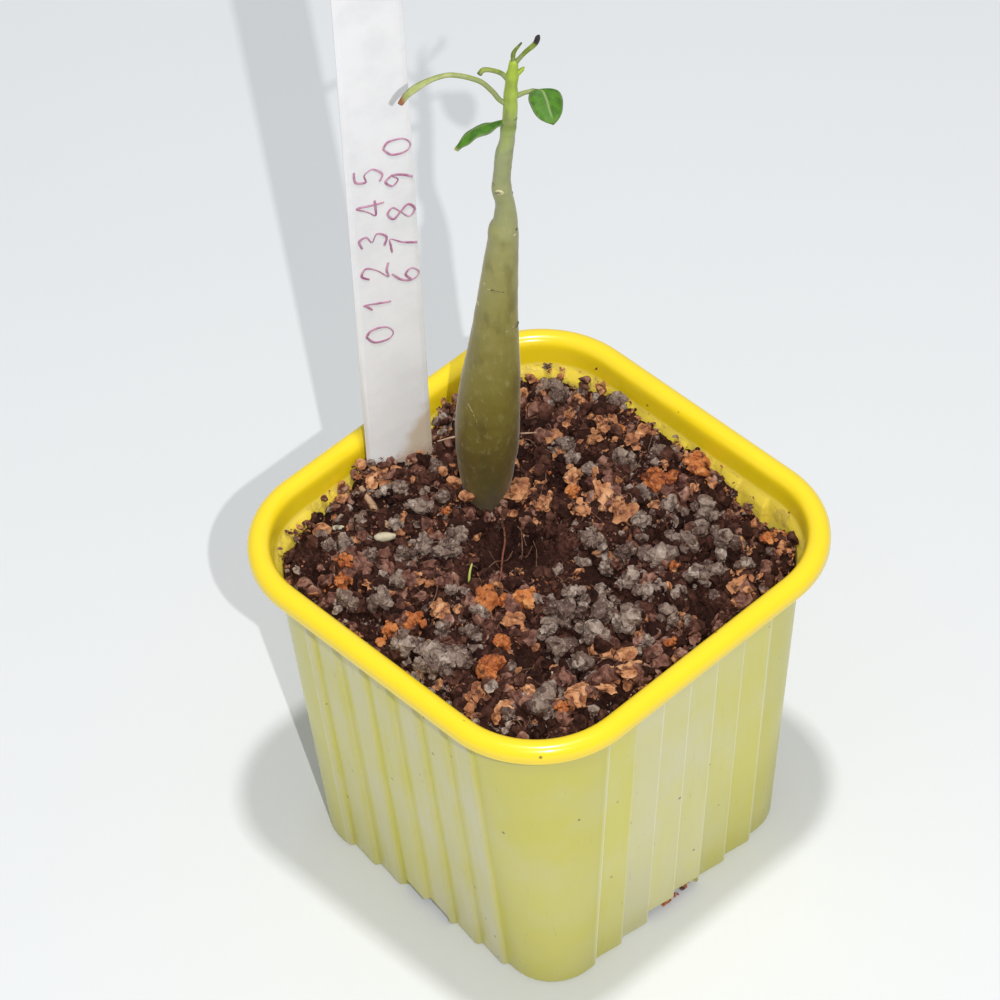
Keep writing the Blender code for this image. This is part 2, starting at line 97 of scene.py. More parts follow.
BEAD_CORNER = 17.3 * MM
BEAD_LIP = 0.7 * MM
BEAD_SWEEP = math.radians(170.0)
LIP_ROUND = 0.4 * MM
PLEATS = 7
PLEAT_PITCH = 6.35 * MM
PLEAT_DEPTH = 0.9 * MM
PLEAT_STEP = 0.7 * MM
PLEAT_PROFILE = ((-0.75, -0.5), (-0.4, -0.46), (-0.2, -0.25), (0.2, 0.25), (0.4, 0.46), (0.75, 0.5))
NOTCH_WIDTH = 11.5 * MM
NOTCH_HEIGHT = 2.0 * MM
NOTCH_REACH = 4.5 * MM
NOTCH_MARGIN = 2.0 * MM
SHARP_ANGLE = math.radians(50.0)

# The soil's outline just inside the wall, and the levels of its skirt down to the pot's floor.
SOIL_HALF = 34.2 * MM
SOIL_CORNER = 13.6 * MM
SOIL_FLOOR_HALF = 27.7 * MM
SOIL_FLOOR_CORNER = 6.3 * MM
SOIL_FLOOR = 1.3 * MM
SOIL_CELLS = 176
# Dark hollows in the soil's surface: (x, y, size) in millimetres.
HOLLOWS = (
    (-10.1, 0.6, 6.0), (-1.8, 0.6, 5.0), (0.4, 4.3, 3.6), (9.5, 4.2, 4.0), (-6.6, -2.6, 5.0),
    (-3.4, 3.6, 4.4), (14.2, -16.5, 3.6), (2.5, -20.0, 2.3), (-5.8, -8.8, 2.0), (-10.4, 21.1, 2.3),
    (17.2, 6.3, 2.0), (27.5, 9.9, 2.3), (-18.5, 23.2, 2.7), (-26.8, 21.9, 2.7), (-28.6, -24.9, 2.7),
    (-37.1, -20.3, 2.3), (20.4, 34.3, 2.7), (12.1, -26.0, 2.3), (20.7, 26.7, 2.0),
)
HOLLOW_DEPTH = 1.6 * MM
HOLLOW_MARGIN = 1.0
HOLLOW_CLEARANCE = 1.6
MOUND_RISE = 1.1 * MM
MOUND_MARGIN = 1.4
# The least level of the ground round the trunk's foot, how far it holds and how far it fades.
FOOT_GROUND = 64.0 * MM
FOOT_REACH = 6.5
FOOT_FADE = 2.5
SOIL_LEVEL = 63.6 * MM
SOIL_LOWEST = 57.0 * MM
# A height above the soil and the pot, from where rays look down on them.
RAY_TOP = 0.1
SKIRT_STEPS = 8
GRAIN_MARGIN = 1.9 * MM
# Crumbs in the ground: their size in millimetres and their share of the rise.
CRUMB_SIZES = ((4.6, 1.6), (2.2, 1.2), (1.1, 0.7), (0.6, 0.35))

# Larger pieces in the soil's surface: (x, y, size) in millimetres.
BARK_FLAKES = (
    (-17.7, 22.3, 6.0), (-12.4, 24.4, 5.2), (-5.9, 28.5, 4.0), (-1.7, 17.4, 5.2), (3.1, 16.9, 5.0),
    (-1.1, 10.4, 5.0), (-8.9, 17.0, 4.2), (-8.5, 9.7, 3.4), (-13.4, 7.9, 4.6), (-9.3, 8.6, 3.6),
    (-23.0, 2.6, 3.2), (-20.0, 2.9, 3.0), (29.2, 18.0, 6.0), (25.4, 19.9, 2.4), (29.6, 28.2, 3.6),
    (-9.8, -17.7, 4.6), (15.9, -29.9, 5.0), (19.2, -27.4, 3.4), (29.5, -8.8, 5.0), (25.4, -5.8, 4.4),
    (29.1, -13.1, 3.2), (28.7, 7.0, 3.2), (26.9, -17.3, 3.6), (28.0, -19.5, 3.6), (-2.5, -20.6, 4.2),
    (7.1, -12.7, 3.8), (-16.2, -23.8, 3.0), (20.1, -22.1, 2.6), (-31.4, -6.0, 4.0), (-31.4, -8.5, 3.0),
    (-30.3, -3.6, 3.0), (-29.5, 24.6, 3.0), (-20.8, 26.9, 3.6), (-13.1, 28.6, 3.0), (3.4, 32.0, 3.0),
    (-6.4, 32.0, 3.0),
)
RUST_CLUMPS = (
    (0.6, -12.1, 6.5), (5.0, -7.9, 5.0), (12.2, -22.7, 6.0), (9.7, -17.8, 3.6), (-3.7, -25.7, 3.8),
    (-6.1, -28.6, 3.2), (-5.5, -31.1, 2.2), (-20.3, -26.8, 4.4), (-22.0, -24.0, 3.0), (-19.2, -3.7, 2.4),
    (3.5, 25.2, 5.4), (25.8, 28.6, 3.0), (25.0, 31.0, 3.2), (5.9, 31.7, 5.0), (29.8, 0.5, 2.6),
    (26.9, -21.5, 2.4), (17.0, 14.4, 2.2), (-6.4, 14.5, 3.0), (-10.0, 29.3, 2.4),
)
GREY_CLUMPS = (
    (-22.0, -5.4, 4.0), (-23.4, -6.7, 3.2), (-20.6, -2.8, 3.0), (-17.2, -11.0, 3.8), (-13.7, -9.2, 4.6),
    (-26.0, -20.3, 4.2), (-28.3, -21.8, 2.8), (-20.4, -18.7, 2.6), (-13.2, -20.0, 4.0), (-12.3, -25.3, 4.4),
    (-15.1, -29.5, 4.6), (-1.5, -30.3, 5.0), (2.1, -27.8, 5.2), (6.0, -27.7, 4.2), (6.7, -24.9, 4.4),
    (5.9, -31.1, 4.6), (-0.2, -22.4, 2.8), (7.4, -5.7, 3.4), (11.5, -8.2, 3.6), (16.9, -0.2, 6.0),
    (21.9, -1.6, 5.6), (12.6, -6.5, 5.6), (19.0, -7.1, 5.4), (18.5, -13.1, 4.8), (22.0, -12.4, 4.4),
    (25.4, 5.1, 4.2), (14.7, 6.9, 3.8), (18.3, 6.9, 4.0), (10.8, -2.7, 3.4), (26.5, -0.9, 2.6),
    (22.9, -22.1, 6.4), (21.9, -28.9, 3.0), (14.9, 13.0, 5.4), (21.4, 22.3, 4.8), (13.4, 26.1, 5.2),
    (15.1, 22.9, 4.8), (15.9, 19.6, 4.2), (8.8, 21.7, 4.2), (13.0, 19.3, 3.6), (-4.5, 25.1, 4.6),
    (7.8, 16.0, 3.6), (9.3, 11.1, 4.0), (5.7, 6.1, 4.2), (9.2, 6.4, 3.6), (-23.6, 28.5, 4.6),
    (-26.8, 28.8, 4.2), (-14.6, 33.0, 3.6), (-15.0, 21.5, 3.4), (-7.2, 19.2, 3.2), (23.7, 13.9, 4.6),
    (23.2, 18.1, 3.8), (26.0, 22.3, 3.2), (22.9, 10.0, 3.6), (11.7, 2.5, 3.2), (-15.6, -4.7, 2.6),
    (-23.2, -11.3, 3.0), (-16.5, -15.0, 3.0), (-27.2, -15.7, 3.0), (-25.0, -2.5, 3.0), (-25.4, 0.4, 3.0),
    (-26.7, -6.6, 3.0), (-28.5, -8.4, 2.6), (2.2, 21.7, 3.6), (-1.2, 28.8, 3.0), (12.9, -11.7, 3.2),
    (2.0, -16.0, 3.0), (-4.2, -15.7, 3.0), (4.0, -20.2, 3.0),
)
# Pale grains: (x, y, size, heading), with the heading in radians.
PALE_GRAINS = ((-22.4, -14.3, 3.8, 0.9), (-30.4, -17.7, 2.2, 0.9), (20.7, -16.4, 2.2, 0.5))

# Where grains lie: (kind, larger pieces that they lie round, reach in millimetres, share elsewhere).
GRAIN_SHARES = (
    ("grey", GREY_CLUMPS, 1.5, 0.1), ("bark", BARK_FLAKES, 1.6, 0.3), ("rust", RUST_CLUMPS, 1.0, 0.04),
)
# Loose grains: name, shapes, finish, the setting that gives their number and a factor on it, smallest,
# largest, tilt, where they lie, and the size and the least level of their patches, in millimetres.
LOOSE_GRAINS = (
    ("peat_crumbs", "crumb", "dark", "peat_crumbs", 1.0, 0.3, 0.85, 3.1, "top", 10.0, 0.0),
    ("peat_lumps", "lump", "dark", "peat_lumps", 0.8, 1.4, 3.2, 0.8, "inner", 10.0, 0.0),
    ("brown_crumbs", "crumb", "brown", "peat_lumps", 3.2, 0.5, 1.3, 3.1, "inner", 7.0, 0.4),
    ("brown_lumps", "lump", "brown", "peat_lumps", 0.8, 1.3, 3.6, 0.8, "inner", 9.0, 0.5),
    ("grey_crumbs", "crumb", "grey", "grey_grit", 1.0, 0.5, 1.5, 3.1, "grey", 4.0, 0.4),
    ("grey_lumps", "lump", "grey", "grey_grit", 0.15, 1.3, 2.9, 0.8, "grey", 10.0, 0.0),
    ("bark_crumbs", "crumb", "bark", "bark_bits", 1.2, 0.5, 1.2, 3.1, "bark", 5.0, 0.4),
    ("bark_chips", "chip", "bark", "bark_bits", 0.6, 1.3, 3.2, 0.7, "bark", 6.0, 0.4),
    ("rust_crumbs", "crumb", "rust", "bark_bits", 2.0, 0.5, 1.3, 1.0, "rust", 9.0, 0.0),
)
# Finishes of grains: colours from dark to light, the specks' colour and share, the roughness and what is
# added to the tone.
GRAINS = {
    "brown_peat": (
        ((0.035, 0.011, 0.007), (0.11, 0.038, 0.025), (0.25, 0.115, 0.08), (0.44, 0.265, 0.20)),
        (0.4, 0.24, 0.18), 0.3, 0.6, 0.0),
    "grey_grit": (
        ((0.04, 0.016, 0.012), (0.135, 0.082, 0.064), (0.29, 0.215, 0.175), (0.54, 0.45, 0.385)),
        (0.62, 0.53, 0.46), 0.4, 0.6, 0.0),
    "bark": (
        ((0.08, 0.025, 0.013), (0.28, 0.10, 0.044), (0.52, 0.23, 0.10), (0.70, 0.38, 0.20)),
        (0.68, 0.42, 0.25), 0.3, 0.65, 0.03),
    "rust": (
        ((0.09, 0.019, 0.008), (0.30, 0.07, 0.02), (0.52, 0.17, 0.045), (0.70, 0.34, 0.14)),
        (0.7, 0.4, 0.2), 0.35, 0.65, 0.05),
    "fibres": (
        ((0.10, 0.04, 0.025), (0.25, 0.13, 0.08), (0.45, 0.28, 0.19)),
        (0.5, 0.4, 0.3), 0.2, 0.6, 0.25),
    "pale_grains": (
        ((0.36, 0.28, 0.17), (0.55, 0.47, 0.32), (0.7, 0.63, 0.48)),
        (0.75, 0.7, 0.6), 0.3, 0.5, 0.45),
    "sliver": (
        ((0.3, 0.16, 0.09), (0.5, 0.32, 0.2), (0.62, 0.44, 0.3)),
        (0.25, 0.1, 0.06), 0.4, 0.6, 0.35),
    "strand": (
        ((0.12, 0.035, 0.02), (0.26, 0.09, 0.05), (0.40, 0.17, 0.10)),
        (0.5, 0.3, 0.2), 0.2, 0.6, 0.2),
    "scar_dark": (
        ((0.09, 0.08, 0.04), (0.17, 0.155, 0.075), (0.27, 0.26, 0.13)),
        (0.3, 0.2, 0.12), 0.25, 0.7, 0.3),
    "scar_pale": (
        ((0.33, 0.31, 0.14), (0.52, 0.5, 0.27), (0.66, 0.64, 0.4)),
        (0.45, 0.3, 0.18), 0.2, 0.7, 0.4),
    "skin_marks": (
        ((0.30, 0.28, 0.12), (0.42, 0.40, 0.2), (0.52, 0.49, 0.29)),
        (0.55, 0.5, 0.32), 0.2, 0.6, 0.3),
    "fine_roots": (
        ((0.35, 0.2, 0.13), (0.5, 0.33, 0.24), (0.62, 0.45, 0.35)),
        (0.3, 0.2, 0.1), 0.2, 0.6, 0.35),
}

# Piles of crumbs on the ledge and round the feet of the label and the trunk: (x, y, top, size).
PILES = (
    (-29.9, 32.1, 67.6, 2.2), (-27.7, 32.6, 67.0, 1.6), (-22.9, 33.9, 67.3, 2.0), (-19.2, 34.6, 67.8, 2.2),
    (-15.2, 34.1, 67.0, 1.8), (-10.0, 34.2, 66.8, 2.0), (-6.0, 33.7, 67.0, 1.6), (0.1, 33.6, 67.2, 2.4),
    (3.0, 34.4, 67.8, 1.6), (5.4, 33.9, 67.4, 2.2), (8.7, 33.4, 66.6, 1.8), (13.2, 33.4, 66.2, 1.6),
    (17.2, 32.8, 66.0, 1.6), (28.2, 31.9, 67.0, 2.2), (30.4, 30.2, 66.4, 1.8), (28.6, 28.8, 66.0, 2.0),
    (33.0, 24.0, 65.8, 1.4), (-34.9, 13.1, 67.6, 1.6), (-32.9, 8.8, 67.2, 2.4), (-34.6, 16.4, 67.4, 1.8),
    (-32.8, 11.5, 66.8, 2.4), (-34.4, 25.9, 66.8, 1.8), (-32.2, 29.4, 67.0, 2.0), (-34.8, -24.3, 66.2, 1.4),
    (-34.9, -19.9, 66.6, 1.6), (-34.8, -16.2, 66.8, 1.8), (-34.9, -12.4, 67.4, 2.0),
    (-35.2, -8.1, 68.0, 1.8), (-35.0, -6.6, 68.6, 1.8), (-33.8, -5.9, 68.6, 2.4), (-32.9, -4.3, 69.0, 2.2),
    (-31.6, -3.4, 68.2, 2.4), (-30.2, -2.4, 67.6, 2.4), (-30.5, -0.2, 68.0, 2.4), (-30.9, 2.4, 68.2, 2.2),
    (-31.8, 5.3, 67.6, 2.2), (-33.8, -8.0, 70.4, 2.2), (-33.0, -6.9, 70.6, 2.0), (-32.2, -5.6, 70.3, 2.0),
    (-31.4, -4.4, 69.6, 2.2), (-34.8, -9.6, 69.2, 2.0), (-33.0, -9.6, 68.9, 2.2), (-31.8, -8.2, 68.9, 2.2),
    (-30.8, -6.6, 68.4, 2.2), (-29.8, -5.2, 67.9, 2.2), (-34.4, -11.4, 67.2, 2.0),
    (-32.2, -11.0, 67.0, 2.2), (-30.6, -9.8, 67.0, 2.2), (-29.2, -8.2, 66.8, 2.2), (-28.2, -6.4, 66.4, 2.2),
    (-27.6, -4.4, 66.0, 2.2), (-29.4, 4.8, 67.2, 2.2), (-34.6, 12.0, 70.2, 1.6), (-33.4, 8.6, 67.8, 2.2),
    (-33.9, 10.6, 68.8, 2.2), (-33.2, 12.6, 68.8, 2.2), (-32.4, 9.6, 68.4, 2.2), (-31.2, 7.4, 68.0, 2.2),
    (-31.6, 11.6, 68.0, 2.2), (-30.6, 9.4, 67.4, 2.2), (-34.2, 14.8, 68.6, 2.0), (-32.4, 14.4, 67.6, 2.2),
    (-34.8, 17.4, 68.2, 1.8), (-33.2, 17.0, 67.4, 2.2), (-29.4, 1.4, 68.0, 2.0), (-28.6, 3.2, 67.4, 2.2),
    (-28.0, -1.6, 66.6, 2.2), (-26.6, 1.0, 66.0, 2.2), (-20.2, 0.8, 64.8, 2.2), (-17.3, 0.2, 64.7, 2.0),
    (-15.0, 0.5, 64.6, 2.0), (-13.5, 1.9, 64.6, 2.2), (-13.0, 4.2, 64.8, 2.2), (-13.4, 6.7, 65.0, 2.0),
    (-22.2, 1.3, 65.2, 2.4), (-14.7, 8.9, 65.0, 2.0), (-15.6, -0.8, 64.2, 1.8), (-12.1, 2.6, 64.2, 1.8),
    (-18.8, -0.6, 64.2, 1.8), (-22.9, 4.4, 65.0, 2.2),
)
# Single lumps: (x, y, z, size, kind). The last ones are soil that shows in the drain opening on one side.
PEBBLES = (
    (-20.8, 0.6, 68.2, 3.0, "bark"), (-17.5, 0.3, 67.4, 2.8, "bark"), (-24.1, 0.9, 68.4, 2.2, "bark"),
    (29.3, -1.2, 0.9, 2.4, "rust"), (29.4, 0.6, 1.0, 2.6, "rust"), (29.3, 2.4, 1.0, 2.6, "brown"),
    (29.2, 3.9, 1.1, 2.2, "rust"),
)
# The outline that holds loose soil in above the ledge.
LEDGE_HALF = 35.9 * MM
LEDGE_CORNER = 15.4 * MM
# The sprout's foot, and its route from there in millimetres.
SPROUT = (-6.3, -10.2)
SPROUT_RISE = ((0.0, 0.0, -0.6), (-0.5, 0.3, 1.2), (-1.0, 1.1, 2.6), (-1.3, 1.9, 3.4))
# A thin root on the ground before the trunk: (x, y, height) in millimetres.
STRAND = ((-8.4, 0.0, 66.6), (-6.3, -1.8, 66.2), (-4.7, -4.0, 65.4), (-2.0, -7.2, 64.6), (-1.6, -8.6, 63.4))
# Fine fibres: how many, half the width of their field in millimetres, and the corners of each.
FIBRES = 150
FIBRE_FIELD = 30.0
FIBRE_CORNERS = 5
# A long sliver on the ground: (x, y) in millimetres.
SLIVER = ((-32.2, -10.5), (-28.3, -11.0), (-23.7, -12.4))

# The trunk: (height above the soil, lean from the foot, radius) in millimetres, with its small elbows.
FOOT = Vector((-17.9, 4.8, 0.0)) * MM
LEAN = Vector((math.cos(math.radians(47.5)), math.sin(math.radians(47.5)), 0.0))
TRUNK = (
    (-22.0, -1.0, 0.45), (-15.0, -0.7, 1.1), (-7.0, -0.3, 2.3), (-2.5, -0.1, 3.1), (0.8, 0.1, 3.65),
    (4.2, 0.3, 4.3), (8.6, 0.5, 4.85), (13.0, 0.8, 5.3), (18.8, 1.1, 5.4), (28.6, 2.0, 4.9),
    (35.1, 2.7, 4.3), (39.5, 3.1, 3.9), (43.6, 3.45, 3.55), (49.1, 4.0, 3.2), (54.5, 4.55, 2.87),
    (59.8, 5.1, 2.5), (62.2, 5.25, 2.44), (63.8, 5.6, 2.06), (65.8, 5.7, 1.8), (67.8, 5.7, 1.62),
    (69.1, 5.55, 1.53), (70.4, 5.34, 1.59), (71.7, 5.28, 1.63), (73.0, 5.33, 1.5), (75.2, 5.55, 1.43),
    (77.4, 5.75, 1.42), (79.5, 6.05, 1.39), (80.3, 6.26, 1.31), (81.6, 6.5, 1.25), (83.2, 6.65, 1.24),
    (84.4, 6.8, 1.32), (85.9, 7.03, 1.19), (88.4, 7.2, 1.17), (90.5, 7.32, 1.13), (91.6, 7.4, 1.16),
    (93.2, 7.5, 1.0), (95.2, 7.75, 1.06), (96.3, 7.9, 0.85), (98.0, 8.1, 0.7),
)
TRUNK_STEPS = 260
TRUNK_SIDES = 48
# The height over which the skin's colours run, and the height of the ring below the topmost leaves.
SKIN_SPAN = 0.1
NODE_HEIGHT = 85.1 * MM
# Leaf scars: (height, azimuth in degrees, width, thickness, shade) with 0 dark and 1 pale.
SCARS = (
    (79.8, -101, 0.9, 0.8, 0.1), (76.4, 16, 0.9, 0.8, 0.3), (72.9, -103, 1.0, 0.8, 0.2),
    (71.9, -58, 1.7, 1.0, 1.0), (63.4, -125, 1.0, 0.8, 0.0), (63.2, 17, 0.9, 0.8, 0.1),
    (62.4, 5, 1.1, 0.6, 1.0), (46.7, -118, 1.3, 0.9, 0.5), (42.1, 24, 1.4, 1.1, 0.35),
    (86.7, 12, 1.0, 0.9, 0.05), (51.8, -103, 1.4, 0.6, 0.7), (50.6, -92, 1.3, 0.5, 0.85),
    (34.0, 100, 1.6, 0.8, 0.6), (45.5, 160, 1.5, 0.8, 0.7), (54.5, 95, 1.4, 0.8, 0.6),
    (58.5, 200, 1.3, 0.8, 0.5), (66.0, 120, 1.3, 0.8, 0.8), (70.0, 60, 1.2, 0.8, 0.4),
    (80.5, 150, 1.2, 0.8, 0.6), (88.0, 110, 1.1, 0.8, 0.4), (91.5, 170, 1.1, 0.8, 0.5),
)
# Pale marks on the skin: places as (height, azimuth in degrees), and the half width in millimetres.
MARKS = (
    (((51.2, -84), (51.4, -62), (51.0, -29)), 0.26), (((42.3, -19), (42.5, 2), (42.1, 16)), 0.26),
    (((26.2, -91), (24.7, -76)), 0.34), (((24.5, -75), (22.5, -64)), 0.42),
)
MARK_LIFT = 0.04 * MM
MARK_STEPS = 13
# Fine roots from the trunk's foot: (along its lean, up, towards the front) in millimetres.
ROOTS = (
    ((4.6, 0.0, 0.0), (6.4, -0.1, 0.0), (8.2, 0.4, 0.5)),
    ((-4.4, 0.0, 0.0), (-6.2, -0.3, 0.0), (-8.4, -1.0, 0.0)),
)
ROOTS_HEIGHT = 15.0
ROOT_RADIUS = 0.24 * MM
ROOT_STEPS = 10
# A leaf scar's rings, from its edge to its middle: (radius, rise) in millimetres.
SCAR_RINGS = ((0.5, 0.0), (0.46, 0.12), (0.36, 0.2), (0.2, 0.15), (0.08, 0.1))
SCAR_POINTS = 10
SCAR_SEED = 7

# Leaves: foot height above the soil, route as (azimuth in degrees, out, up), half widths at shares of
# the route, roll in degrees, fold, and the tip's colour. Lengths are in millimetres.
LEAVES = {
    "leaf_arching": (
        89.5,
        ((235, 0.0, -0.6), (235, 1.6, 0.9), (235, 2.9, 3.2), (235, 5.0, 5.7), (235, 9.3, 7.6),
         (236, 13.4, 7.0), (237, 16.0, 5.7), (238, 17.5, 3.8)),
        ((0.0, 0.55), (0.12, 0.45), (0.5, 0.42), (0.66, 0.75), (0.8, 1.35), (0.9, 1.4),
         (0.96, 1.0), (1.0, 0.3)),
        28.0, 0.3, (0.36, 0.13, 0.05),
    ),
    "leaf_right": (
        91.0,
        ((25, 0.2, -0.5), (40, 1.2, 0.2), (46, 2.6, 0.7), (47.6, 4.7, 0.7), (34, 5.6, 0.2), (18, 6.8, -0.6),
         (8, 8.4, -1.5)),
        ((0.0, 0.5), (0.2, 0.4), (0.4, 0.42), (0.45, 1.3), (0.52, 2.1), (0.62, 2.6), (0.74, 2.6),
         (0.87, 2.0), (0.95, 1.0), (1.0, 0.12)),
        0.0, 0.1, (0.10, 0.22, 0.03),
    ),
    "leaf_lower_left": (
        85.3,
        ((248, 0.0, 0.3), (248, 1.6, 0.6), (248, 3.4, 0.7), (248, 6.0, 0.45),
         (248.5, 7.9, -0.8), (249, 9.2, -2.2)),
        ((0.0, 0.44), (0.1, 0.42), (0.18, 0.55), (0.3, 1.1), (0.43, 1.6), (0.56, 1.75), (0.7, 1.5),
         (0.84, 1.0), (0.94, 0.5), (1.0, 0.15)),
        15.0, 0.3, (0.40, 0.42, 0.12),
    ),
    "leaf_top_left": (
        94.4,
        ((225, 0.0, -0.4), (225, 0.65, 0.1), (225, 1.5, 1.3), (225, 2.9, 2.0),
         (225, 4.3, 2.15), (225, 5.0, 1.3)),
        ((0.0, 0.45), (0.3, 0.36), (0.65, 0.34), (0.86, 0.5), (0.95, 0.55), (1.0, 0.3)),
        0.0, 0.2, (0.06, 0.1, 0.03),
    ),
    "shoot_tip_left": (
        97.5,
        ((227, 0.0, 0.2), (227, 0.05, 1.1), (50, 0.15, 2.6), (50, 1.3, 4.3)),
        ((0.0, 0.42), (0.3, 0.34), (0.6, 0.36), (1.0, 0.16)),
        60.0, 0.2, (0.1, 0.16, 0.04),
    ),
    "shoot_tip_right": (
        97.5,
        ((47, 0.2, 0.2), (47, 0.9, 1.2), (47, 2.0, 2.6), (47, 3.5, 4.2), (47, 4.0, 5.7)),
        ((0.0, 0.45), (0.3, 0.36), (0.5, 0.38), (0.8, 0.44), (0.93, 0.42), (1.0, 0.26)),
        60.0, 0.2, (0.035, 0.028, 0.03),
    ),
}
# The leaves whose colours aren't those of the youngest ones.
LEAF_KINDS = {"leaf_arching": "faded", "leaf_right": "blade", "leaf_lower_left": "blade"}
LEAF_STEPS = 48
# Places across a leaf, from one edge at -1 to the other at 1.
LEAF_SHARES = (-1.0, -0.94, -0.72, -0.45, -0.2, 0.0, 0.2, 0.45, 0.72, 0.94, 1.0)
# The bud near the tip: (height, distance from the trunk's middle, radius) in millimetres.
BUD = ((95.2, 0.3, 0.5), (95.8, 0.95, 0.42), (96.4, 1.4, 0.36), (96.9, 1.7, 0.14))
BLADE = 0.6 * MM
STALK = 0.42 * MM
RIB_RISE = 0.16 * MM
LEAF_WAVE = 0.12 * MM
# The part of the right leaf's route where its blade faces along to its end.
STRAIGHT_PART = (0.42, 0.9)

# The label: a point on its left edge, the direction of its width and of its length.
LABEL_WIDTH = 12.0 * MM
LABEL_THICKNESS = 0.7 * MM
LABEL_LENGTH = 140.0 * MM
LABEL_POINT = 32.0 * MM
LABEL_TIP_HALF = 1.0 * MM
LABEL_TOP = 174.0 * MM
LABEL_EDGE = Vector((-33.8, -7.3, 71.4)) * MM
LABEL_AZIMUTH = math.radians(70.0)
LABEL_AXIS = Vector((-0.047, 0.039, 0.998)).normalized()
LABEL_CORNER = 1.6 * MM
LABEL_BORDER = 0.9 * MM
LABEL_SLOPE = 0.16 * MM
LABEL_BEVEL = 0.06 * MM
# Figures drawn on the label with a pen, as routes in a box one wide and one and a half high.
FIGURES = {
    "0": ((0.5, 1.5), (0.05, 1.05), (0.1, 0.3), (0.5, 0.0), (0.95, 0.4), (0.9, 1.2), (0.5, 1.5)),
    "1": ((0.15, 1.05), (0.4, 1.3), (0.55, 1.5), (0.52, 0.8), (0.5, 0.0)),
    "2": ((0.1, 1.1), (0.4, 1.5), (0.85, 1.25), (0.6, 0.65), (0.05, 0.05), (0.5, 0.12), (1.0, 0.0)),
    "3": ((0.1, 1.35), (0.6, 1.5), (0.8, 1.1), (0.4, 0.8), (0.9, 0.5), (0.6, 0.0), (0.05, 0.15)),
    "4": ((0.75, 0.0), (0.7, 0.8), (0.65, 1.5), (0.3, 0.9), (0.0, 0.5), (0.5, 0.48), (1.0, 0.5)),
    "5": ((0.9, 1.5), (0.25, 1.45), (0.15, 0.9), (0.6, 0.95), (0.9, 0.5), (0.5, 0.0), (0.05, 0.15)),
    "6": ((0.75, 1.5), (0.25, 1.0), (0.1, 0.4), (0.5, 0.0), (0.9, 0.4), (0.55, 0.75), (0.15, 0.45)),
    "7": ((0.05, 1.4), (0.5, 1.45), (0.95, 1.45), (0.6, 0.8), (0.4, 0.0)),
    "8": ((0.5, 0.8), (0.1, 1.2), (0.5, 1.5), (0.85, 1.2), (0.5, 0.8), (0.1, 0.35), (0.5, 0.0), (0.9, 0.35),
          (0.5, 0.8)),
    "9": ((0.85, 1.1), (0.5, 1.5), (0.15, 1.15), (0.5, 0.8), (0.85, 1.15), (0.75, 0.5), (0.5, 0.0)),
}
# Rows of figures: (figures, distance from the label's middle, distance down from its top) in millimetres.
FIGURE_ROWS = (("012345", -2.1, 79.0), ("67890", 3.2, 68.0))
FIGURE_WIDTH = 3.2 * MM
FIGURE_PITCH = 6.8 * MM
FIGURE_SLANT = 0.15
FIGURE_MIDDLE = 0.75
PEN_RADIUS = 0.26 * MM
PEN_SINK = 0.07 * MM

# The camera: its place, its direction and its focal length, solved from the pot's outlines.
CAMERA_PLACE = Vector((428.3, -400.0, 702.5)) * MM
CAMERA_AZIMUTH = math.radians(47.55)
CAMERA_ELEVATION = math.radians(46.73)
CAMERA_ROLL = math.radians(-2.93)
CAMERA_LENS = 186.66
SENSOR = 36.0

# Between which heights and widths a look changes, in metres.
PLAIN_WALL = (0.05, 0.056)
PLEATED_HALF = (0.0198, 0.0202)
UNDER_RIM_SHADE_BAND = (0.0585, 0.0655)
LEDGE_LEVEL = (0.0664, 0.0674)
RINGED_SKIN = (0.115, 0.14)
SOILED_SKIN = (0.0655, 0.071)
LABEL_TOP_SHADE_HEIGHTS = (0.078, 0.125)
SOILED_LABEL = (0.0675, 0.0705)

# Colours that no setting changes.
UNDER_RIM_SHADE_COLOUR = (0.42, 0.36, 0.09)
SCUFF_COLOUR = (0.28, 0.24, 0.13)
HOLLOW_SHADE_COLOUR = (0.035, 0.012, 0.008)
PEAT_CREST = (0.24, 0.115, 0.075)
SPROUT_DEEP = (0.38, 0.46, 0.05)
SPROUT_PALE = (0.6, 0.62, 0.2)
SKIN_FLECKS = (0.42, 0.39, 0.2)
SKIN_BLOTCHES = (0.075, 0.065, 0.012)
SKIN_PORES = (0.5, 0.46, 0.3)
SKIN_RINGS = (0.1, 0.13, 0.03)
SKIN_DIRT = (0.09, 0.06, 0.04)
NODE_COLOUR = (0.15, 0.2, 0.02)
LEAF_EDGE_SHEEN = (0.30, 0.28, 0.22)
LABEL_GREY_AND_SHADE = (0.74, 0.745, 0.77)
LABEL_FOOT = (0.52, 0.37, 0.26)
LABEL_LEFT_EDGE_SHADE = (0.60, 0.56, 0.47)
LABEL_SPECK = (0.2, 0.17, 0.14)

# The light: the point that the lamps face, each one's way and distance from it, and the light's colours.
LAMPS_AIM = Vector((0.0, 0.0, 0.08))
KEY_REACH = Vector((0.546, -0.411, 0.729)) * 0.8
OVERHEAD_REACH = Vector((0.086, -0.03, 0.995)) * 0.9
LAMP_COLOUR = (1.0, 0.988, 0.965)
SURROUND_COLOUR = (0.955, 0.98, 1.0, 1.0)
FLOOR_HALF = 4.0
LENGTH = {"subtype": "DISTANCE", "unit": "LENGTH"}
POWER = {"subtype": "POWER", "unit": "POWER"}


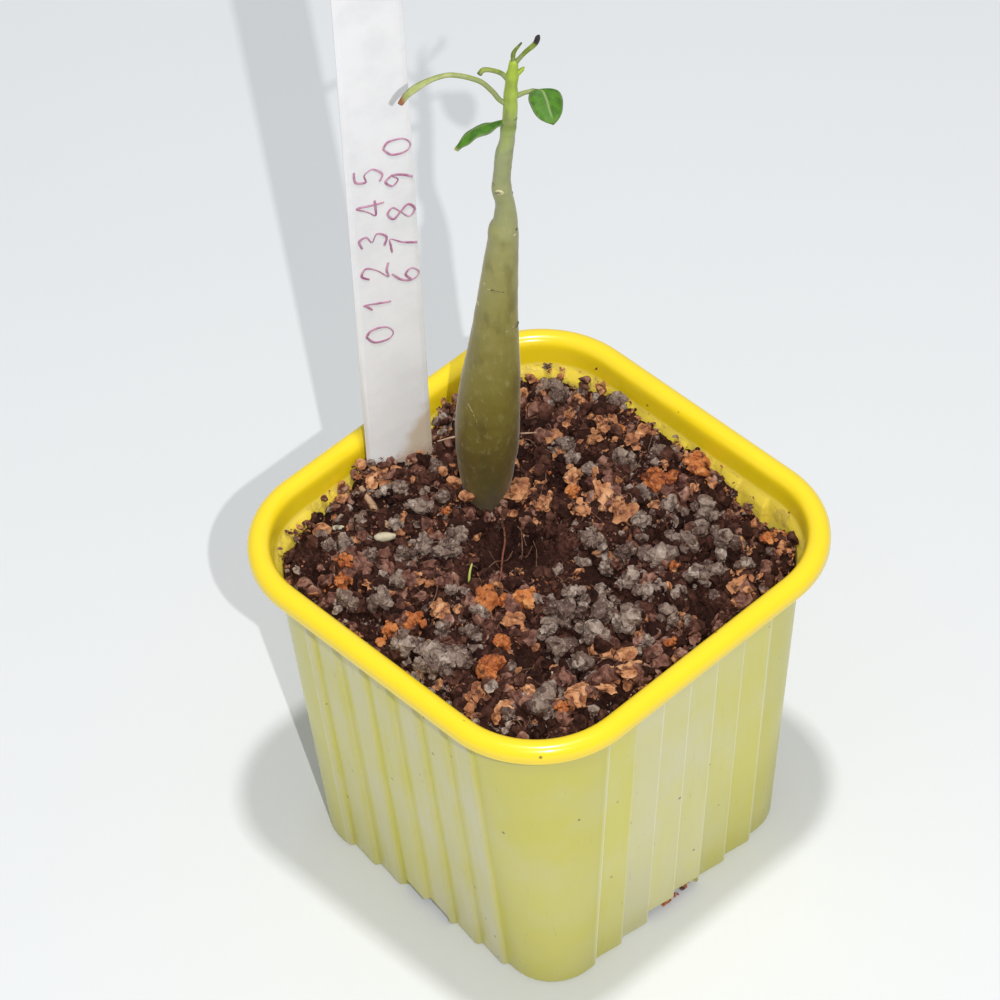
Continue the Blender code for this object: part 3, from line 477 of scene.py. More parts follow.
class Socket:
    """A node's output. Arithmetic on it adds Math nodes to its tree."""

    def __init__(self, board, socket):
        self.board = board
        self.socket = socket

    def math(self, operation, *others, clamp=False):
        inputs = dict(enumerate((self, *others)))
        return self.board.add("ShaderNodeMath", {"operation": operation, "use_clamp": clamp}, inputs)

    def __add__(self, other):
        return self.math("ADD", other)

    def __sub__(self, other):
        return self.math("SUBTRACT", other)

    def __rsub__(self, other):
        return (self * -1.0).math("ADD", other)

    def __mul__(self, other):
        return self.math("MULTIPLY", other)

    def __rtruediv__(self, other):
        return self.math("POWER", -1.0) * other

    def __truediv__(self, other):
        return self.math("DIVIDE", other)

    def clamp(self):
        return self.math("ADD", 0.0, clamp=True)

    def size(self):
        return self.math("ABSOLUTE")

    __radd__ = __add__
    __rmul__ = __mul__


class Board:
    """Adds nodes to a tree, sets them up and links them."""

    def __init__(self, tree):
        self.tree = tree

    def add(self, kind, settings=None, inputs=None, output=0):
        """Add a node and give back one of its outputs. Settings go in before inputs."""
        node = self.tree.nodes.new(kind)
        for name, value in (settings or {}).items():
            setattr(node, name, value)
        for key, value in (inputs or {}).items():
            self.feed(self.find(node.inputs, key), value)
        return Socket(self, self.find(node.outputs, output))

    def feed(self, socket, value):
        if isinstance(value, Socket):
            self.tree.links.new(value.socket, socket)
        else:
            socket.default_value = value

    @staticmethod
    def find(sockets, key):
        """A socket by its number, or the first one in use by its name."""
        if isinstance(key, int):
            return sockets[key]
        return next(socket for socket in sockets if socket.name == key and socket.enabled)

    def noise(self, place, size, detail=3.0, roughness=0.55):
        """Noise whose lumps are about as large as size."""
        inputs = {"Vector": place, "Scale": 1.0 / size, "Detail": detail, "Roughness": roughness}
        return self.add("ShaderNodeTexNoise", None, inputs)

    def cells(self, place, size):
        """How far a place is from the nearest of scattered points, which are about size apart."""
        return self.add("ShaderNodeTexVoronoi", None, {"Vector": place, "Scale": 1.0 / size}, "Distance")

    def ramp(self, factor, stops):
        """Colours at their places between 0 and 1."""
        value = self.add("ShaderNodeValToRGB", None, {0: factor})
        elements = value.socket.node.color_ramp.elements
        while len(elements) < len(stops):
            elements.new(1.0)
        for element, (position, colour) in zip(elements, stops):
            element.position = position
            element.color = (*colour, 1.0)
        return value

    def between(self, value, low, high):
        """0 below low, 1 above high and a smooth step between them."""
        inputs = {"Value": value, "From Min": low, "From Max": high}
        return self.add("ShaderNodeMapRange", {"interpolation_type": "SMOOTHSTEP"}, inputs)

    def outside(self, value, low, high):
        """1 below low, 0 above high and a smooth step between them."""
        return 1.0 - self.between(value, low, high)

    def mix(self, factor, first, second, blend="MIX"):
        """Mix two colours."""
        settings = {"data_type": "RGBA", "blend_type": blend}
        inputs = {"Factor": factor}
        for key, value in (("A", first), ("B", second)):
            inputs[key] = value if isinstance(value, Socket) else (*value, 1.0)
        return self.add("ShaderNodeMix", settings, inputs, "Result")

    def attribute(self, name):
        return self.add("ShaderNodeAttribute", {"attribute_name": name}, None, "Fac")

    def stored(self, name, kind="FLOAT"):
        """What the points of a geometry hold under a name."""
        return self.add("GeometryNodeInputNamedAttribute", {"data_type": kind}, {"Name": name}, "Attribute")

    def random(self, kind, low, high, seed):
        """A random value between two others for each point."""
        inputs = {"Min": low, "Max": high, "Seed": seed}
        return self.add("FunctionNodeRandomValue", {"data_type": kind}, inputs, "Value")

    def axes(self, vector):
        """The three numbers of a vector."""
        return [self.add("ShaderNodeSeparateXYZ", None, {0: vector}, k) for k in range(3)]

    def vector(self, x, y, z):
        return self.add("ShaderNodeCombineXYZ", None, {0: x, 1: y, 2: z})


class Finish(Board):
    """A material under construction, painted in layers. What is the same all over is set at once."""

    def __init__(self, name, **fixed):
        self.material = bpy.data.materials.new(name)
        self.material.use_nodes = True
        super().__init__(self.material.node_tree)
        self.shader = self.tree.nodes["Principled BSDF"]
        for key, value in fixed.items():
            self.shader.inputs[key.replace("_", " ").title().replace("Ior", "IOR")].default_value = value
        self.place = self.add("ShaderNodeTexCoord", None, None, "Object")
        self.colour = None

    def over(self, share, colour, blend="MIX"):
        """Lay a colour over what is painted so far, by a share between 0 and 1."""
        self.colour = self.mix(share, self.colour, colour, blend)

    def paint(self, roughness, height=None, depth=0.1 * MM):
        """Link the colour, the roughness and a relief whose full height is depth."""
        self.feed(self.shader.inputs["Base Color"], self.colour)
        self.feed(self.shader.inputs["Roughness"], roughness)
        if height is not None:
            relief = self.add("ShaderNodeBump", None, {"Strength": 1.0, "Distance": depth, "Height": height})
            self.feed(self.shader.inputs["Normal"], relief)
        return self.material


def add_object(name, mesh, material=None):
    """Put a mesh in the scene as a piece of the object."""
    item = bpy.data.objects.new(name, mesh)
    bpy.context.scene.collection.objects.link(item)
    if material:
        mesh.materials.clear()
        mesh.materials.append(material)
    return item


def flat_way(angle):
    """The level direction at an angle from +X, in radians."""
    return Vector((math.cos(angle), math.sin(angle), 0.0))


def set_values(mesh, name, values):
    """Keep one number for each point of a mesh under a name."""
    attribute = mesh.attributes.new(name, "FLOAT", "POINT")
    attribute.data.foreach_set("value", np.asarray(values, dtype=np.float32))


def mesh_of(bm, name):
    """Turn a bmesh into a mesh."""
    mesh = bpy.data.meshes.new(name)
    bm.to_mesh(mesh)
    bm.free()
    return mesh


def turn_out(mesh, weld=0.0):
    """Turn a mesh's faces outwards, and join its points that are nearer than weld."""
    bm = bmesh.new()
    bm.from_mesh(mesh)
    if weld:
        bmesh.ops.remove_doubles(bm, verts=bm.verts, dist=weld)
    bmesh.ops.recalc_face_normals(bm, faces=bm.faces)
    bm.to_mesh(mesh)
    bm.free()


def bake(item, name, smooth=True):
    """Turn an object and its modifiers into a plain mesh object of that name."""
    graph = bpy.context.evaluated_depsgraph_get()
    mesh = bpy.data.meshes.new_from_object(item.evaluated_get(graph))
    bpy.data.objects.remove(item, do_unlink=True)
    mesh.name = name
    if smooth:
        mesh.shade_smooth()
    else:
        mesh.shade_flat()
    return add_object(name, mesh)


def keep(item, slot, *nodes):
    """Hand a finished piece to the frame: it rides on the one body, and may stand for solids."""
    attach(item, "root")
    if nodes:
        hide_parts(*nodes)


def loft(rings):
    """A body through rings of equal length, each counterclockwise about the way they advance."""
    bm = bmesh.new()
    loops = [[bm.verts.new(point) for point in ring] for ring in rings]
    count = len(loops[0])
    for low, high in zip(loops, loops[1:]):
        for i in range(count):
            j = (i + 1) % count
            bm.faces.new((low[i], low[j], high[j], high[i]))
    bm.faces.new(list(reversed(loops[0])))
    bm.faces.new(loops[-1])
    return bm


def smooth_route(points, count):
    """Points on a smooth curve through the given ones."""
    route = []
    last = len(points) - 1
    for k in range(count):
        place = k / (count - 1) * last
        start = min(int(place), last - 1)
        share = place - start
        a = points[max(start - 1, 0)]
        b = points[start]
        c = points[start + 1]
        d = points[min(start + 2, last)]
        bend = (2 * a - 5 * b + 4 * c - d) * share ** 2 + (3 * b - a - 3 * c + d) * share ** 3
        route.append(0.5 * (2 * b + (c - a) * share + bend))
    return route


def smooth_between(stations, at, column):
    """Read a column of a table at a place between two of its rows, on a smooth curve through them all."""
    k = max(index for index, station in enumerate(stations[:-1]) if station[0] <= at or index == 0)
    rows = [stations[min(max(k + step, 0), len(stations) - 1)] for step in (-1, 0, 1, 2)]
    share = min(max((at - rows[1][0]) / (rows[2][0] - rows[1][0]), 0.0), 1.0)
    low, high = rows[1][column], rows[2][column]
    width = rows[2][0] - rows[1][0]
    slope_low = width * (high - rows[0][column]) / max(rows[2][0] - rows[0][0], 1e-9)
    slope_high = width * (rows[3][column] - low) / max(rows[3][0] - rows[1][0], 1e-9)
    square = share * share
    cube = square * share
    return (
        (2 * cube - 3 * square + 1) * low + (cube - 2 * square + share) * slope_low
        + (3 * square - 2 * cube) * high + (cube - square) * slope_high
    )


def add_tree(item, name, make, **values):
    """Put a Geometry Nodes tree on an object and set its inputs by the names that it gives them."""
    tree = bpy.data.node_groups.get(name) or make(name)
    modifier = item.modifiers.new(name, "NODES")
    modifier.node_group = tree
    for socket in tree.interface.items_tree:
        key = socket.name.replace(" ", "_").lower()
        if socket.in_out == "INPUT" and key in values:
            modifier[socket.identifier] = values[key]


def new_tree(name, **inputs):
    """A Geometry Nodes tree with inputs of these kinds. Gives back the board and the inputs' sockets."""
    tree = bpy.data.node_groups.new(name, "GeometryNodeTree")
    tree.interface.new_socket("Geometry", in_out="INPUT", socket_type="NodeSocketGeometry")
    tree.interface.new_socket("Geometry", in_out="OUTPUT", socket_type="NodeSocketGeometry")
    for label, kind in inputs.items():
        title = label.replace("_", " ").title()
        tree.interface.new_socket(title, in_out="INPUT", socket_type="NodeSocket" + kind)
    board = Board(tree)
    source = tree.nodes.new("NodeGroupInput")
    sockets = {socket.name.replace(" ", "_").lower(): socket for socket in source.outputs if socket.name}
    return board, {key: Socket(board, socket) for key, socket in sockets.items()}


def end_tree(board, geometry, material):
    """Realise the instances, give them their material and end the tree."""
    whole = board.add("GeometryNodeRealizeInstances", None, {0: geometry})
    dressed = board.add("GeometryNodeSetMaterial", None, {"Geometry": whole, "Material": material})
    output = board.tree.nodes.new("NodeGroupOutput")
    board.feed(output.inputs[0], dressed)
    return board.tree


def scatter_tree(name):
    """Grains on a surface: one of several shapes at each place, turned, scaled and shaded at random."""
    board, values = new_tree(
        name, shapes="Collection", density="Float", smallest="Float", largest="Float", tilt="Float",
        patch_size="Float", patch_level="Float", share="String", seed="Int", material="Material")
    patch = board.noise(board.add("GeometryNodeInputPosition"), values["patch_size"], 2.0, 0.5)
    level = values["patch_level"]
    mask = board.between(patch, level, level + 0.06)
    seed = values["seed"]
    points = board.add("GeometryNodeDistributePointsOnFaces", None, {
        "Mesh": values["geometry"], "Density": values["density"] * mask * board.stored(values["share"]),
        "Seed": seed})
    tilt = values["tilt"]
    lowest = board.vector(tilt * -1.0, tilt * -1.0, -math.pi)
    turn = board.random("FLOAT_VECTOR", lowest, board.vector(tilt, tilt, math.pi), seed)
    facing = board.add("FunctionNodeRotateRotation", {"rotation_space": "LOCAL"}, {
        "Rotation": Socket(board, points.socket.node.outputs["Rotation"]), "Rotate By": turn})
    size = board.random("FLOAT", values["smallest"], values["largest"], seed + 7.0)
    return place_shapes(board, values, points, facing, size)


def spread_tree(name):
    """Pieces at given points, with the size and the turn that each point holds."""
    board, values = new_tree(name, shapes="Collection", seed="Int", material="Material")
    size = board.stored("size")
    return place_shapes(board, values, values["geometry"], board.stored("turn", "FLOAT_VECTOR"), size)


def place_shapes(board, values, points, facing, size):
    """Put a shape at each point, give it a shade of its own and end the tree."""
    shapes = board.add("GeometryNodeCollectionInfo", None, {
        "Collection": values["shapes"], "Separate Children": True, "Reset Children": True})
    seed = values["seed"] + 13.0
    index = board.random("INT", 0, 63, seed)
    grains = board.add("GeometryNodeInstanceOnPoints", None, {
        "Points": points, "Instance": shapes, "Pick Instance": True, "Instance Index": index,
        "Rotation": facing, "Scale": board.vector(size, size, size)})
    shade = board.random("FLOAT", 0.0, 1.0, seed + 5.0)
    shaded = board.add("GeometryNodeStoreNamedAttribute", {"data_type": "FLOAT", "domain": "INSTANCE"}, {
        "Geometry": grains, "Name": "shade", "Value": shade})
    return end_tree(board, shaded, values["material"])


def sweep_tree(name):
    """A round skin along curves whose points hold the radius, roughened by noise."""
    board, values = new_tree(name, sides="Int", lump_size="Float", lump_height="Float", material="Material")
    profile = board.add("GeometryNodeCurvePrimitiveCircle", None, {
        "Resolution": values["sides"], "Radius": 1.0})
    skin = board.add("GeometryNodeCurveToMesh", None, {
        "Curve": values["geometry"], "Profile Curve": profile, "Fill Caps": True,
        "Scale": board.add("GeometryNodeInputRadius")})
    lumps = board.noise(board.add("GeometryNodeInputPosition"), values["lump_size"], 3.0, 0.5)
    push = board.add("ShaderNodeVectorMath", {"operation": "SCALE"}, {
        0: board.add("GeometryNodeInputNormal"), "Scale": (lumps - 0.5) * values["lump_height"]})
    rough = board.add("GeometryNodeSetPosition", None, {"Geometry": skin, "Offset": push})
    return end_tree(board, rough, values["material"])


def shape_set(name, shapes):
    """A collection of shapes for a tree to pick from. It is taken away again after use."""
    collection = bpy.data.collections.new(name)
    for index, bm in enumerate(shapes):
        mesh = mesh_of(bm, f"{name}_{index}")
        collection.objects.link(bpy.data.objects.new(mesh.name, mesh))
    return collection


def drop_set(collection):
    for item in list(collection.objects):
        bpy.data.objects.remove(item, do_unlink=True)
    bpy.data.collections.remove(collection)


def curve_object(name, paths):
    """A curve object from lists of (point, radius)."""
    curve = bpy.data.curves.new(name, "CURVE")
    curve.dimensions = "3D"
    for path in paths:
        spline = curve.splines.new("POLY")
        spline.points.add(len(path) - 1)
        for point, (place, radius) in zip(spline.points, path):
            point.co = (*place, 1.0)
            point.radius = radius
    item = bpy.data.objects.new(name, curve)
    bpy.context.scene.collection.objects.link(item)
    return item


def sweep(name, paths, material, sides, lump_size=4.0 * MM, lump_height=0.0):
    """Sweep a round skin along paths of (point, radius)."""
    path = curve_object(name + "_path", paths)
    add_tree(
        path, "sweep_skin", sweep_tree, sides=sides, lump_size=lump_size, lump_height=lump_height,
        material=material)
    item = bake(path, name)
    turn_out(item.data, WELD)
    return item


def spread(name, places, shapes, material, seed, smooth=False):
    """Set shapes at places of (point, size, turn)."""
    mesh = bpy.data.meshes.new(name + "_places")
    mesh.from_pydata([point for point, _, _ in places], [], [])
    set_values(mesh, "size", [size for _, size, _ in places])
    turns = mesh.attributes.new("turn", "FLOAT_VECTOR", "POINT")
    turns.data.foreach_set("vector", np.array([turn for _, _, turn in places], np.float32).ravel())
    item = add_object(name + "_places", mesh)
    add_tree(item, "spread_pieces", spread_tree, shapes=shapes, seed=seed, material=material)
    return bake(item, name, smooth)


def scatter(name, ground, **values):
    """Scatter shapes over the ground where it holds a share of them."""
    item = ground.copy()
    item.data = ground.data.copy()
    bpy.context.scene.collection.objects.link(item)
    add_tree(item, "scatter_grains", scatter_tree, **values)
    return bake(item, name, False)


# Pot

def rounded_square(half, corner, height, pleat, corner_steps):
    """One level of the pot, counterclockwise. Every side is stepped by its pleats."""
    straight = half - corner
    last_step = (PLEATS - 1) / 2 * PLEAT_PITCH + PLEAT_STEP / 2
    run_in = straight - last_step
    around = 2 * run_in + corner * math.pi / 2
    side = []
    for k in range(PLEATS):
        middle = (k - (PLEATS - 1) / 2) * PLEAT_PITCH
        for place, share in PLEAT_PROFILE:
            side.append((middle + place * PLEAT_STEP, half - share * pleat))
    for k in range(corner_steps + 1):
        angle = k / corner_steps * math.pi / 2
        share = (run_in + corner * angle) / around
        radius = corner + pleat * (share - 0.5)
        side.append((straight + radius * math.sin(angle), straight + radius * math.cos(angle)))
    ring = []
    for quarter in range(4):
        turn = Matrix.Rotation(quarter * math.pi / 2, 3, "Z")
        ring += [turn @ Vector((along, -out, height)) for along, out in side]
    return ring


def wall_level(height, inset, steps):
    share = height / WALL_TOP
    half = BASE_HALF + share * (WALL_TOP_HALF - BASE_HALF) - inset
    corner = BASE_CORNER + share * (WALL_TOP_CORNER - BASE_CORNER) - inset
    return rounded_square(half, corner, height, PLEAT_DEPTH, steps)


def base_level(height, inset, steps):
    return rounded_square(
        BASE_HALF - BASE_EDGE - inset, BASE_CORNER - BASE_EDGE - inset, height, PLEAT_DEPTH, steps)


def collar_level(height, inset, steps):
    return rounded_square(COLLAR_HALF - inset, COLLAR_CORNER - inset, height, 0.0, steps)


def bead_level(height, out, steps):
    return rounded_square(BEAD_HALF + out, BEAD_CORNER + out, height, 0.0, steps)


def pot_levels(corner_steps, bead_steps):
    """The pot's section from the middle of its base out, up, over the bead and down inside.

    Each level is a ring of points, with how far it belongs to the dull wall and not to the rim or the inside.
    """
    bead_middle = POT_HEIGHT - BEAD_RADIUS
    lip = bead_middle - BEAD_LIP
    ledge = LEDGE_TOP + LEDGE_RISE / 3
    sections = [
        (base_level, 0.0, 1.2 * MM, 1.0),
        (base_level, 0.0, 0.0, 1.0),
        (wall_level, 0.25 * MM, 0.2 * MM, 1.0),
        (wall_level, BASE_EDGE, 0.0, 1.0),
        (wall_level, WALL_TOP * 0.5, 0.0, 1.0),
        (wall_level, WALL_TOP - 0.5 * MM, 0.0, 1.0),
        (wall_level, WALL_TOP, 0.0, 1.0),
        (collar_level, LEDGE_TOP, COLLAR_TAPER, 0.8),
        (collar_level, LEDGE_TOP + 0.4 * MM, 0.5 * COLLAR_TAPER, 0.8),
        (collar_level, lip - LIP_ROUND, 0.0, 0.5),
    ]
    for drop, inward in ((2.0, 3.0), (1.9, 1.3), (1.5, 0.8), (1.0, 0.5), (0.3, 0.1), (0.0, 0.0)):
        sections.append((bead_level, lip - drop * LIP_ROUND, BEAD_RADIUS - inward * LIP_ROUND, 0.0))
    for k in range(bead_steps + 1):
        angle = BEAD_SWEEP * k / bead_steps
        height = bead_middle + BEAD_RADIUS * math.sin(angle)
        sections.append((bead_level, height, BEAD_RADIUS * math.cos(angle), 0.0))
    sections += [
        (collar_level, bead_middle - 0.6 * MM, COLLAR_WALL - 0.1 * MM, 0.0),
        (collar_level, ledge + 0.4 * MM, COLLAR_WALL, 0.0),
        (collar_level, ledge, COLLAR_WALL + 0.1 * MM, 0.0),
        (collar_level, LEDGE_TOP - LEDGE_RISE / 6, COLLAR_WALL + 2 * COLLAR_TAPER, 0.0),
        (wall_level, WALL_TOP + 0.15 * MM, WALL - 0.15 * MM, 0.0),
        (wall_level, WALL_TOP - 0.5 * MM, WALL, 0.0),
        (wall_level, WALL_TOP * 0.5, WALL, 0.0),
        (wall_level, FLOOR_THICKNESS + FLOOR_FILLET, WALL, 0.0),
        (base_level, FLOOR_THICKNESS, WALL, 0.0),
    ]
    return [(level(height, inset, corner_steps), wall) for level, height, inset, wall in sections]


def cut_notches(item):
    """Cut the drain openings through the foot of each side."""
    bm = bmesh.new()
    reach = NOTCH_REACH + NOTCH_MARGIN
    for quarter in range(4):
        cube = bmesh.ops.create_cube(bm, size=1.0)["verts"]
        bmesh.ops.scale(bm, vec=(NOTCH_WIDTH, reach, NOTCH_HEIGHT + NOTCH_MARGIN), verts=cube)
        middle = (0.0, reach / 2 - BASE_HALF - NOTCH_MARGIN, (NOTCH_HEIGHT - NOTCH_MARGIN) / 2)
        bmesh.ops.translate(bm, vec=middle, verts=cube)
        bmesh.ops.rotate(bm, matrix=Matrix.Rotation(quarter * math.pi / 2, 3, "Z"), verts=cube)
    cutter = add_object("notch_cutter", mesh_of(bm, "notch_cutter"))
    modifier = item.modifiers.new("Notches", "BOOLEAN")
    modifier.operation = "DIFFERENCE"
    modifier.solver = "EXACT"
    modifier.object = cutter
    name = item.name
    item.name = name + "_uncut"
    cut = bake(item, name)
    bpy.data.objects.remove(cutter, do_unlink=True)
    return cut


def pot_finish(settings):
    """Glossy yellow plastic. Below the rim the wall is thin and less glossy, in strips with lines at the
    pleats. Painted reflection greys the strips, the lines hold painted highlight and painted shade, a band
    under the rim is painted shade, and the pale film below the ledge is partly painted highlight.
    """
    finish = Finish("pot_plastic", specular_ior_level=0.55, coat_roughness=0.08, coat_weight=0.25)
    place = finish.place
    x, y, z = finish.axes(place)
    wall = finish.attribute("wall").math("MAXIMUM", finish.outside(z, *PLAIN_WALL))
    on_y_side = y.size().math("GREATER_THAN", x.size())
    on_x_side = 1.0 - on_y_side
    along = y * x.math("SIGN") * on_x_side - x * y.math("SIGN") * on_y_side
    pleat = along / PLEAT_PITCH
    strip = pleat.math("FLOOR") + on_y_side * 31.0 + x.math("SIGN") * 7.0 + y.math("SIGN") * 3.0
    off_line = ((pleat + 0.5).math("FRACT") - 0.5) * PLEAT_PITCH
    pleated = finish.outside(along.size(), *PLEATED_HALF)
    cloud = finish.noise(place, 16.0 * MM)
    patch = finish.noise(place, 6.0 * MM)
    streak = finish.noise(finish.vector(x, y, z * 0.1), 1.8 * MM)
    by_strip = finish.add("ShaderNodeTexWhiteNoise", {"noise_dimensions": "1D"}, {"W": strip}, "Value")
    # Painted reflection: the Y sides' panels get more of the pale film, as a grey reflection, and the strips
    # beside their steps stay saturated. The cloud, the streaks and the changes from strip to strip are the
    # wall's real film.
    band = finish.between(off_line, 0.0, 0.0003)
    band = band * finish.outside(off_line - by_strip * 0.0008, 0.0009, 0.0016)
    band = band + finish.between(off_line * -1.0, 0.0026, 0.0031) * by_strip * 0.5
    film = (0.68 - band.clamp() * 0.55 + (by_strip - 0.5) * 0.4) * on_y_side + (by_strip - 0.12) * on_x_side
    haze_and_reflection = (film * 0.9 + (streak - 0.5) * 0.6) * pleated + (cloud - 0.44) * 1.3
    finish.colour = finish.mix(haze_and_reflection.clamp(), settings.wall_colour, settings.haze_and_reflection_colour)
    fresh = finish.between(patch, 0.52, 0.75) * finish.between(cloud, 0.4, 0.62) * 0.3
    finish.over(fresh, settings.patch_colour)
    off = off_line.size()
    shade_line = finish.outside(off, 0.0003, 0.0006) * pleated * on_y_side
    pleat_highlight_line = finish.outside(off, 0.0004, 0.0006) * pleated * on_x_side
    # Painted shade: the pleat steps on the Y sides, which face the key lamp, are darkened.
    finish.over(shade_line * 0.2, settings.pleat_shade)
    # Painted highlight: pale lines along the pleat edges on the X sides. The next line lightens the X sides'
    # pleated strips as painted light.
    finish.over(pleat_highlight_line * (0.55 + by_strip * 0.4), settings.pleat_highlight_colour)
    finish.over(on_x_side * pleated * 0.35, settings.pleat_highlight_colour, "SOFT_LIGHT")
    tint = finish.noise(place, 9.0 * MM, 2.0)
    rim_colour = finish.mix(tint * 0.5, settings.rim_colour, settings.rim_shade)
    finish.colour = finish.mix(finish.between(wall, 0.2, 0.75), rim_colour, finish.colour)
    # Painted shade: a darker band on the outer wall just under the rolled rim, where the rim overhangs it.
    under_rim_shade = finish.between(z, *UNDER_RIM_SHADE_BAND) * finish.between(wall, 0.7, 0.95)
    finish.over(under_rim_shade * 0.35, UNDER_RIM_SHADE_COLOUR)
    specks = finish.outside(finish.cells(place, 4.2 * MM), 0.05, 0.1) * finish.between(patch, 0.5, 0.56)
    scuff = finish.noise(finish.vector(x * 2.5, y * 2.5, z * 0.4 + x + y), 2.4 * MM, 4.0, 0.7)
    scuffs = finish.between(scuff, 0.64, 0.72)
    smear = finish.noise(place, 2.6 * MM, 4.0, 0.65)
    low_inside = (1.0 - wall) * finish.outside(z, *LEDGE_LEVEL)
    smears = finish.between(smear, 0.46, 0.62) * low_inside
    crust = finish.between(smear, 0.2, 0.42) * low_inside
    # A pale cream film on the inside below the ledge level, broken by crust: partly a real film, partly
    # painted highlight on the ledge.
    finish.over((1.0 - crust * 0.6) * low_inside * 0.7, settings.cream_and_highlight_colour)
    finish.over(smears * 0.38, settings.smear_colour)
    finish.over((specks * 0.75).clamp(), settings.dirt_colour)
    finish.over(scuffs * wall * 0.22, SCUFF_COLOUR)
    roughness = 0.2 + wall * 0.2 + cloud * 0.08 + scuffs * 0.1 + smears * 0.35
    relief = finish.noise(place, 0.7 * MM) * 0.1 + finish.noise(place, 6.0 * MM, 2.0) * 0.55 + smears * 0.5
    return finish.paint(roughness, relief, 0.12 * MM)


# Soil

def outline_reach(direction, half, corner):
    """How far a rounded square reaches from its middle in a direction."""
    x, y = abs(direction.x), abs(direction.y)
    reach = half / max(x, y)
    px, py = x * reach, y * reach
    straight = half - corner
    if min(px, py) <= straight:
        return reach
    along = straight * (x + y)
    inside = along ** 2 - (x * x + y * y) * (2 * straight ** 2 - corner ** 2)
    return (along + math.sqrt(max(inside, 0.0))) / (x * x + y * y)


def soil_heights(places):
    """The packed soil's surface at each place of a square array, with the root's and label's holes filled."""
    graph = bpy.context.evaluated_depsgraph_get()
    solid = BVHTree.FromObject(frame["nodes"]["soil"], graph)
    rows = []
    for row in places:
        line = []
        for place in row:
            hit = solid.ray_cast(Vector((place.x, place.y, RAY_TOP)), -UP)[0]
            line.append(hit.z if hit else math.nan)
        rows.append(line)
    heights = np.array(rows)
    heights[~(heights > SOIL_LOWEST)] = math.nan
    while np.isnan(heights).any():
        padded = np.pad(heights, 1, constant_values=math.nan)
        around = np.stack([padded[1:-1, :-2], padded[1:-1, 2:], padded[:-2, 1:-1], padded[2:, 1:-1]])
        known = ~np.isnan(around)
        sums = np.where(known, around, 0.0).sum(0)
        fill = np.isnan(heights) & known.any(0)
        heights[fill] = sums[fill] / known.sum(0)[fill]
    return heights


def crowd(spots, table, margin):
    """How near each spot is to the pieces of a table: 1 in the middle of one, 0 away from all."""
    best = np.zeros(len(spots))
    for x, y, size in table:
        gap = np.hypot(spots[:, 0] / MM - x, spots[:, 1] / MM - y)
        best = np.maximum(best, 1.0 - gap / (0.5 * size + margin))
    return best


def crumble(place, rise):
    """Crumbs on the soil's surface, in four sizes."""
    height = 0.0
    for size, share in CRUMB_SIZES:
        height += share * noise.noise(place / (size * MM)) * rise
    return height


def ground_place(i, j):
    """A place on the ground's grid, which is square in the middle and follows the pot's wall at its edge."""
    half = SOIL_CELLS // 2
    reach = max(abs(i), abs(j))
    direction = Vector((i, j, 0.0)) / max(reach, 1)
    edge = outline_reach(direction, SOIL_HALF, SOIL_CORNER) if reach else 0.0
    return direction * edge * reach / half


def ground_mesh(settings):
    """The soil as a closed body: its surface, a skirt along the wall and a bottom on the pot's floor."""
    half = SOIL_CELLS // 2
    steps = range(-half, half + 1)
    rows = [[ground_place(i, j) for j in steps] for i in steps]
    count = SOIL_CELLS + 1
    spots = np.array([[place.x, place.y] for row in rows for place in row])
    mounds = crowd(spots, BARK_FLAKES + RUST_CLUMPS + GREY_CLUMPS, MOUND_MARGIN)
    levels = soil_heights(rows).ravel() + MOUND_RISE * mounds
    levels -= HOLLOW_DEPTH * np.sqrt(crowd(spots, HOLLOWS, HOLLOW_MARGIN))
    gap = np.hypot(spots[:, 0] - FOOT.x, spots[:, 1] - FOOT.y) / MM
    levels += np.clip((FOOT_REACH - gap) / FOOT_FADE, 0.0, 1.0) * np.maximum(FOOT_GROUND - levels, 0.0)
    vertices = []
    for (x, y), level in zip(spots, levels):
        vertices.append(Vector((x, y, level + crumble(Vector((x, y, 0.03)), settings.crumb_rise))))
    faces = []
    for i in range(SOIL_CELLS):
        for k in range(i * count, i * count + SOIL_CELLS):
            faces.append((k, k + count, k + count + 1, k + 1))
    last = count - 1
    loop = [i * count for i in range(last)] + [last * count + j for j in range(last)]
    loop += [i * count + last for i in range(last, 0, -1)] + list(range(last, 0, -1))
    add_skirt(vertices, faces, loop)
    mesh = bpy.data.meshes.new("soil_ground")
    mesh.from_pydata(vertices, [], faces)
    mark_ground(mesh, count)
    turn_out(mesh)
    mesh.shade_smooth()
    return mesh


def add_skirt(vertices, faces, loop):
    """Carry the loop round the ground's edge down the wall to the pot's floor, and close it there."""
    top = loop
    for step in range(1, SKIRT_STEPS + 1):
        share = step / SKIRT_STEPS
        fresh = []
        for index in top:
            point = vertices[index]
            flat = Vector((point.x, point.y, 0.0))
            way = flat.normalized()
            place = flat.lerp(way * outline_reach(way, SOIL_FLOOR_HALF, SOIL_FLOOR_CORNER), share)
            fresh.append(len(vertices))
            vertices.append(Vector((place.x, place.y, point.z + share * (SOIL_FLOOR - point.z))))
        for k, index in enumerate(loop):
            after = (k + 1) % len(loop)
            faces.append((index, fresh[k], fresh[after], loop[after]))
        loop = fresh
    faces.append(tuple(loop))


def mark_ground(mesh, count):
    """Say which points of the ground may hold loose grains, and how many of each kind."""
    places = np.array([vertex.co for vertex in mesh.vertices])
    half = count // 2
    i, j = np.divmod(np.arange(len(places)), count)
    rings = np.maximum(np.abs(i - half), np.abs(j - half))
    top = rings < half - 1
    set_values(mesh, "top", top)
    inner = top & ((1.0 - rings / half) * SOIL_HALF > GRAIN_MARGIN)
    open_ground = inner * (1.0 - np.clip(crowd(places, HOLLOWS, HOLLOW_CLEARANCE) * 3.0, 0.0, 1.0))
    set_values(mesh, "inner", open_ground)
    for name, table, margin, least in GRAIN_SHARES:
        near = np.clip(crowd(places, table, margin) * 2.5, 0.0, 1.0)
        set_values(mesh, name, open_ground * (least + (1.0 - least) * near))


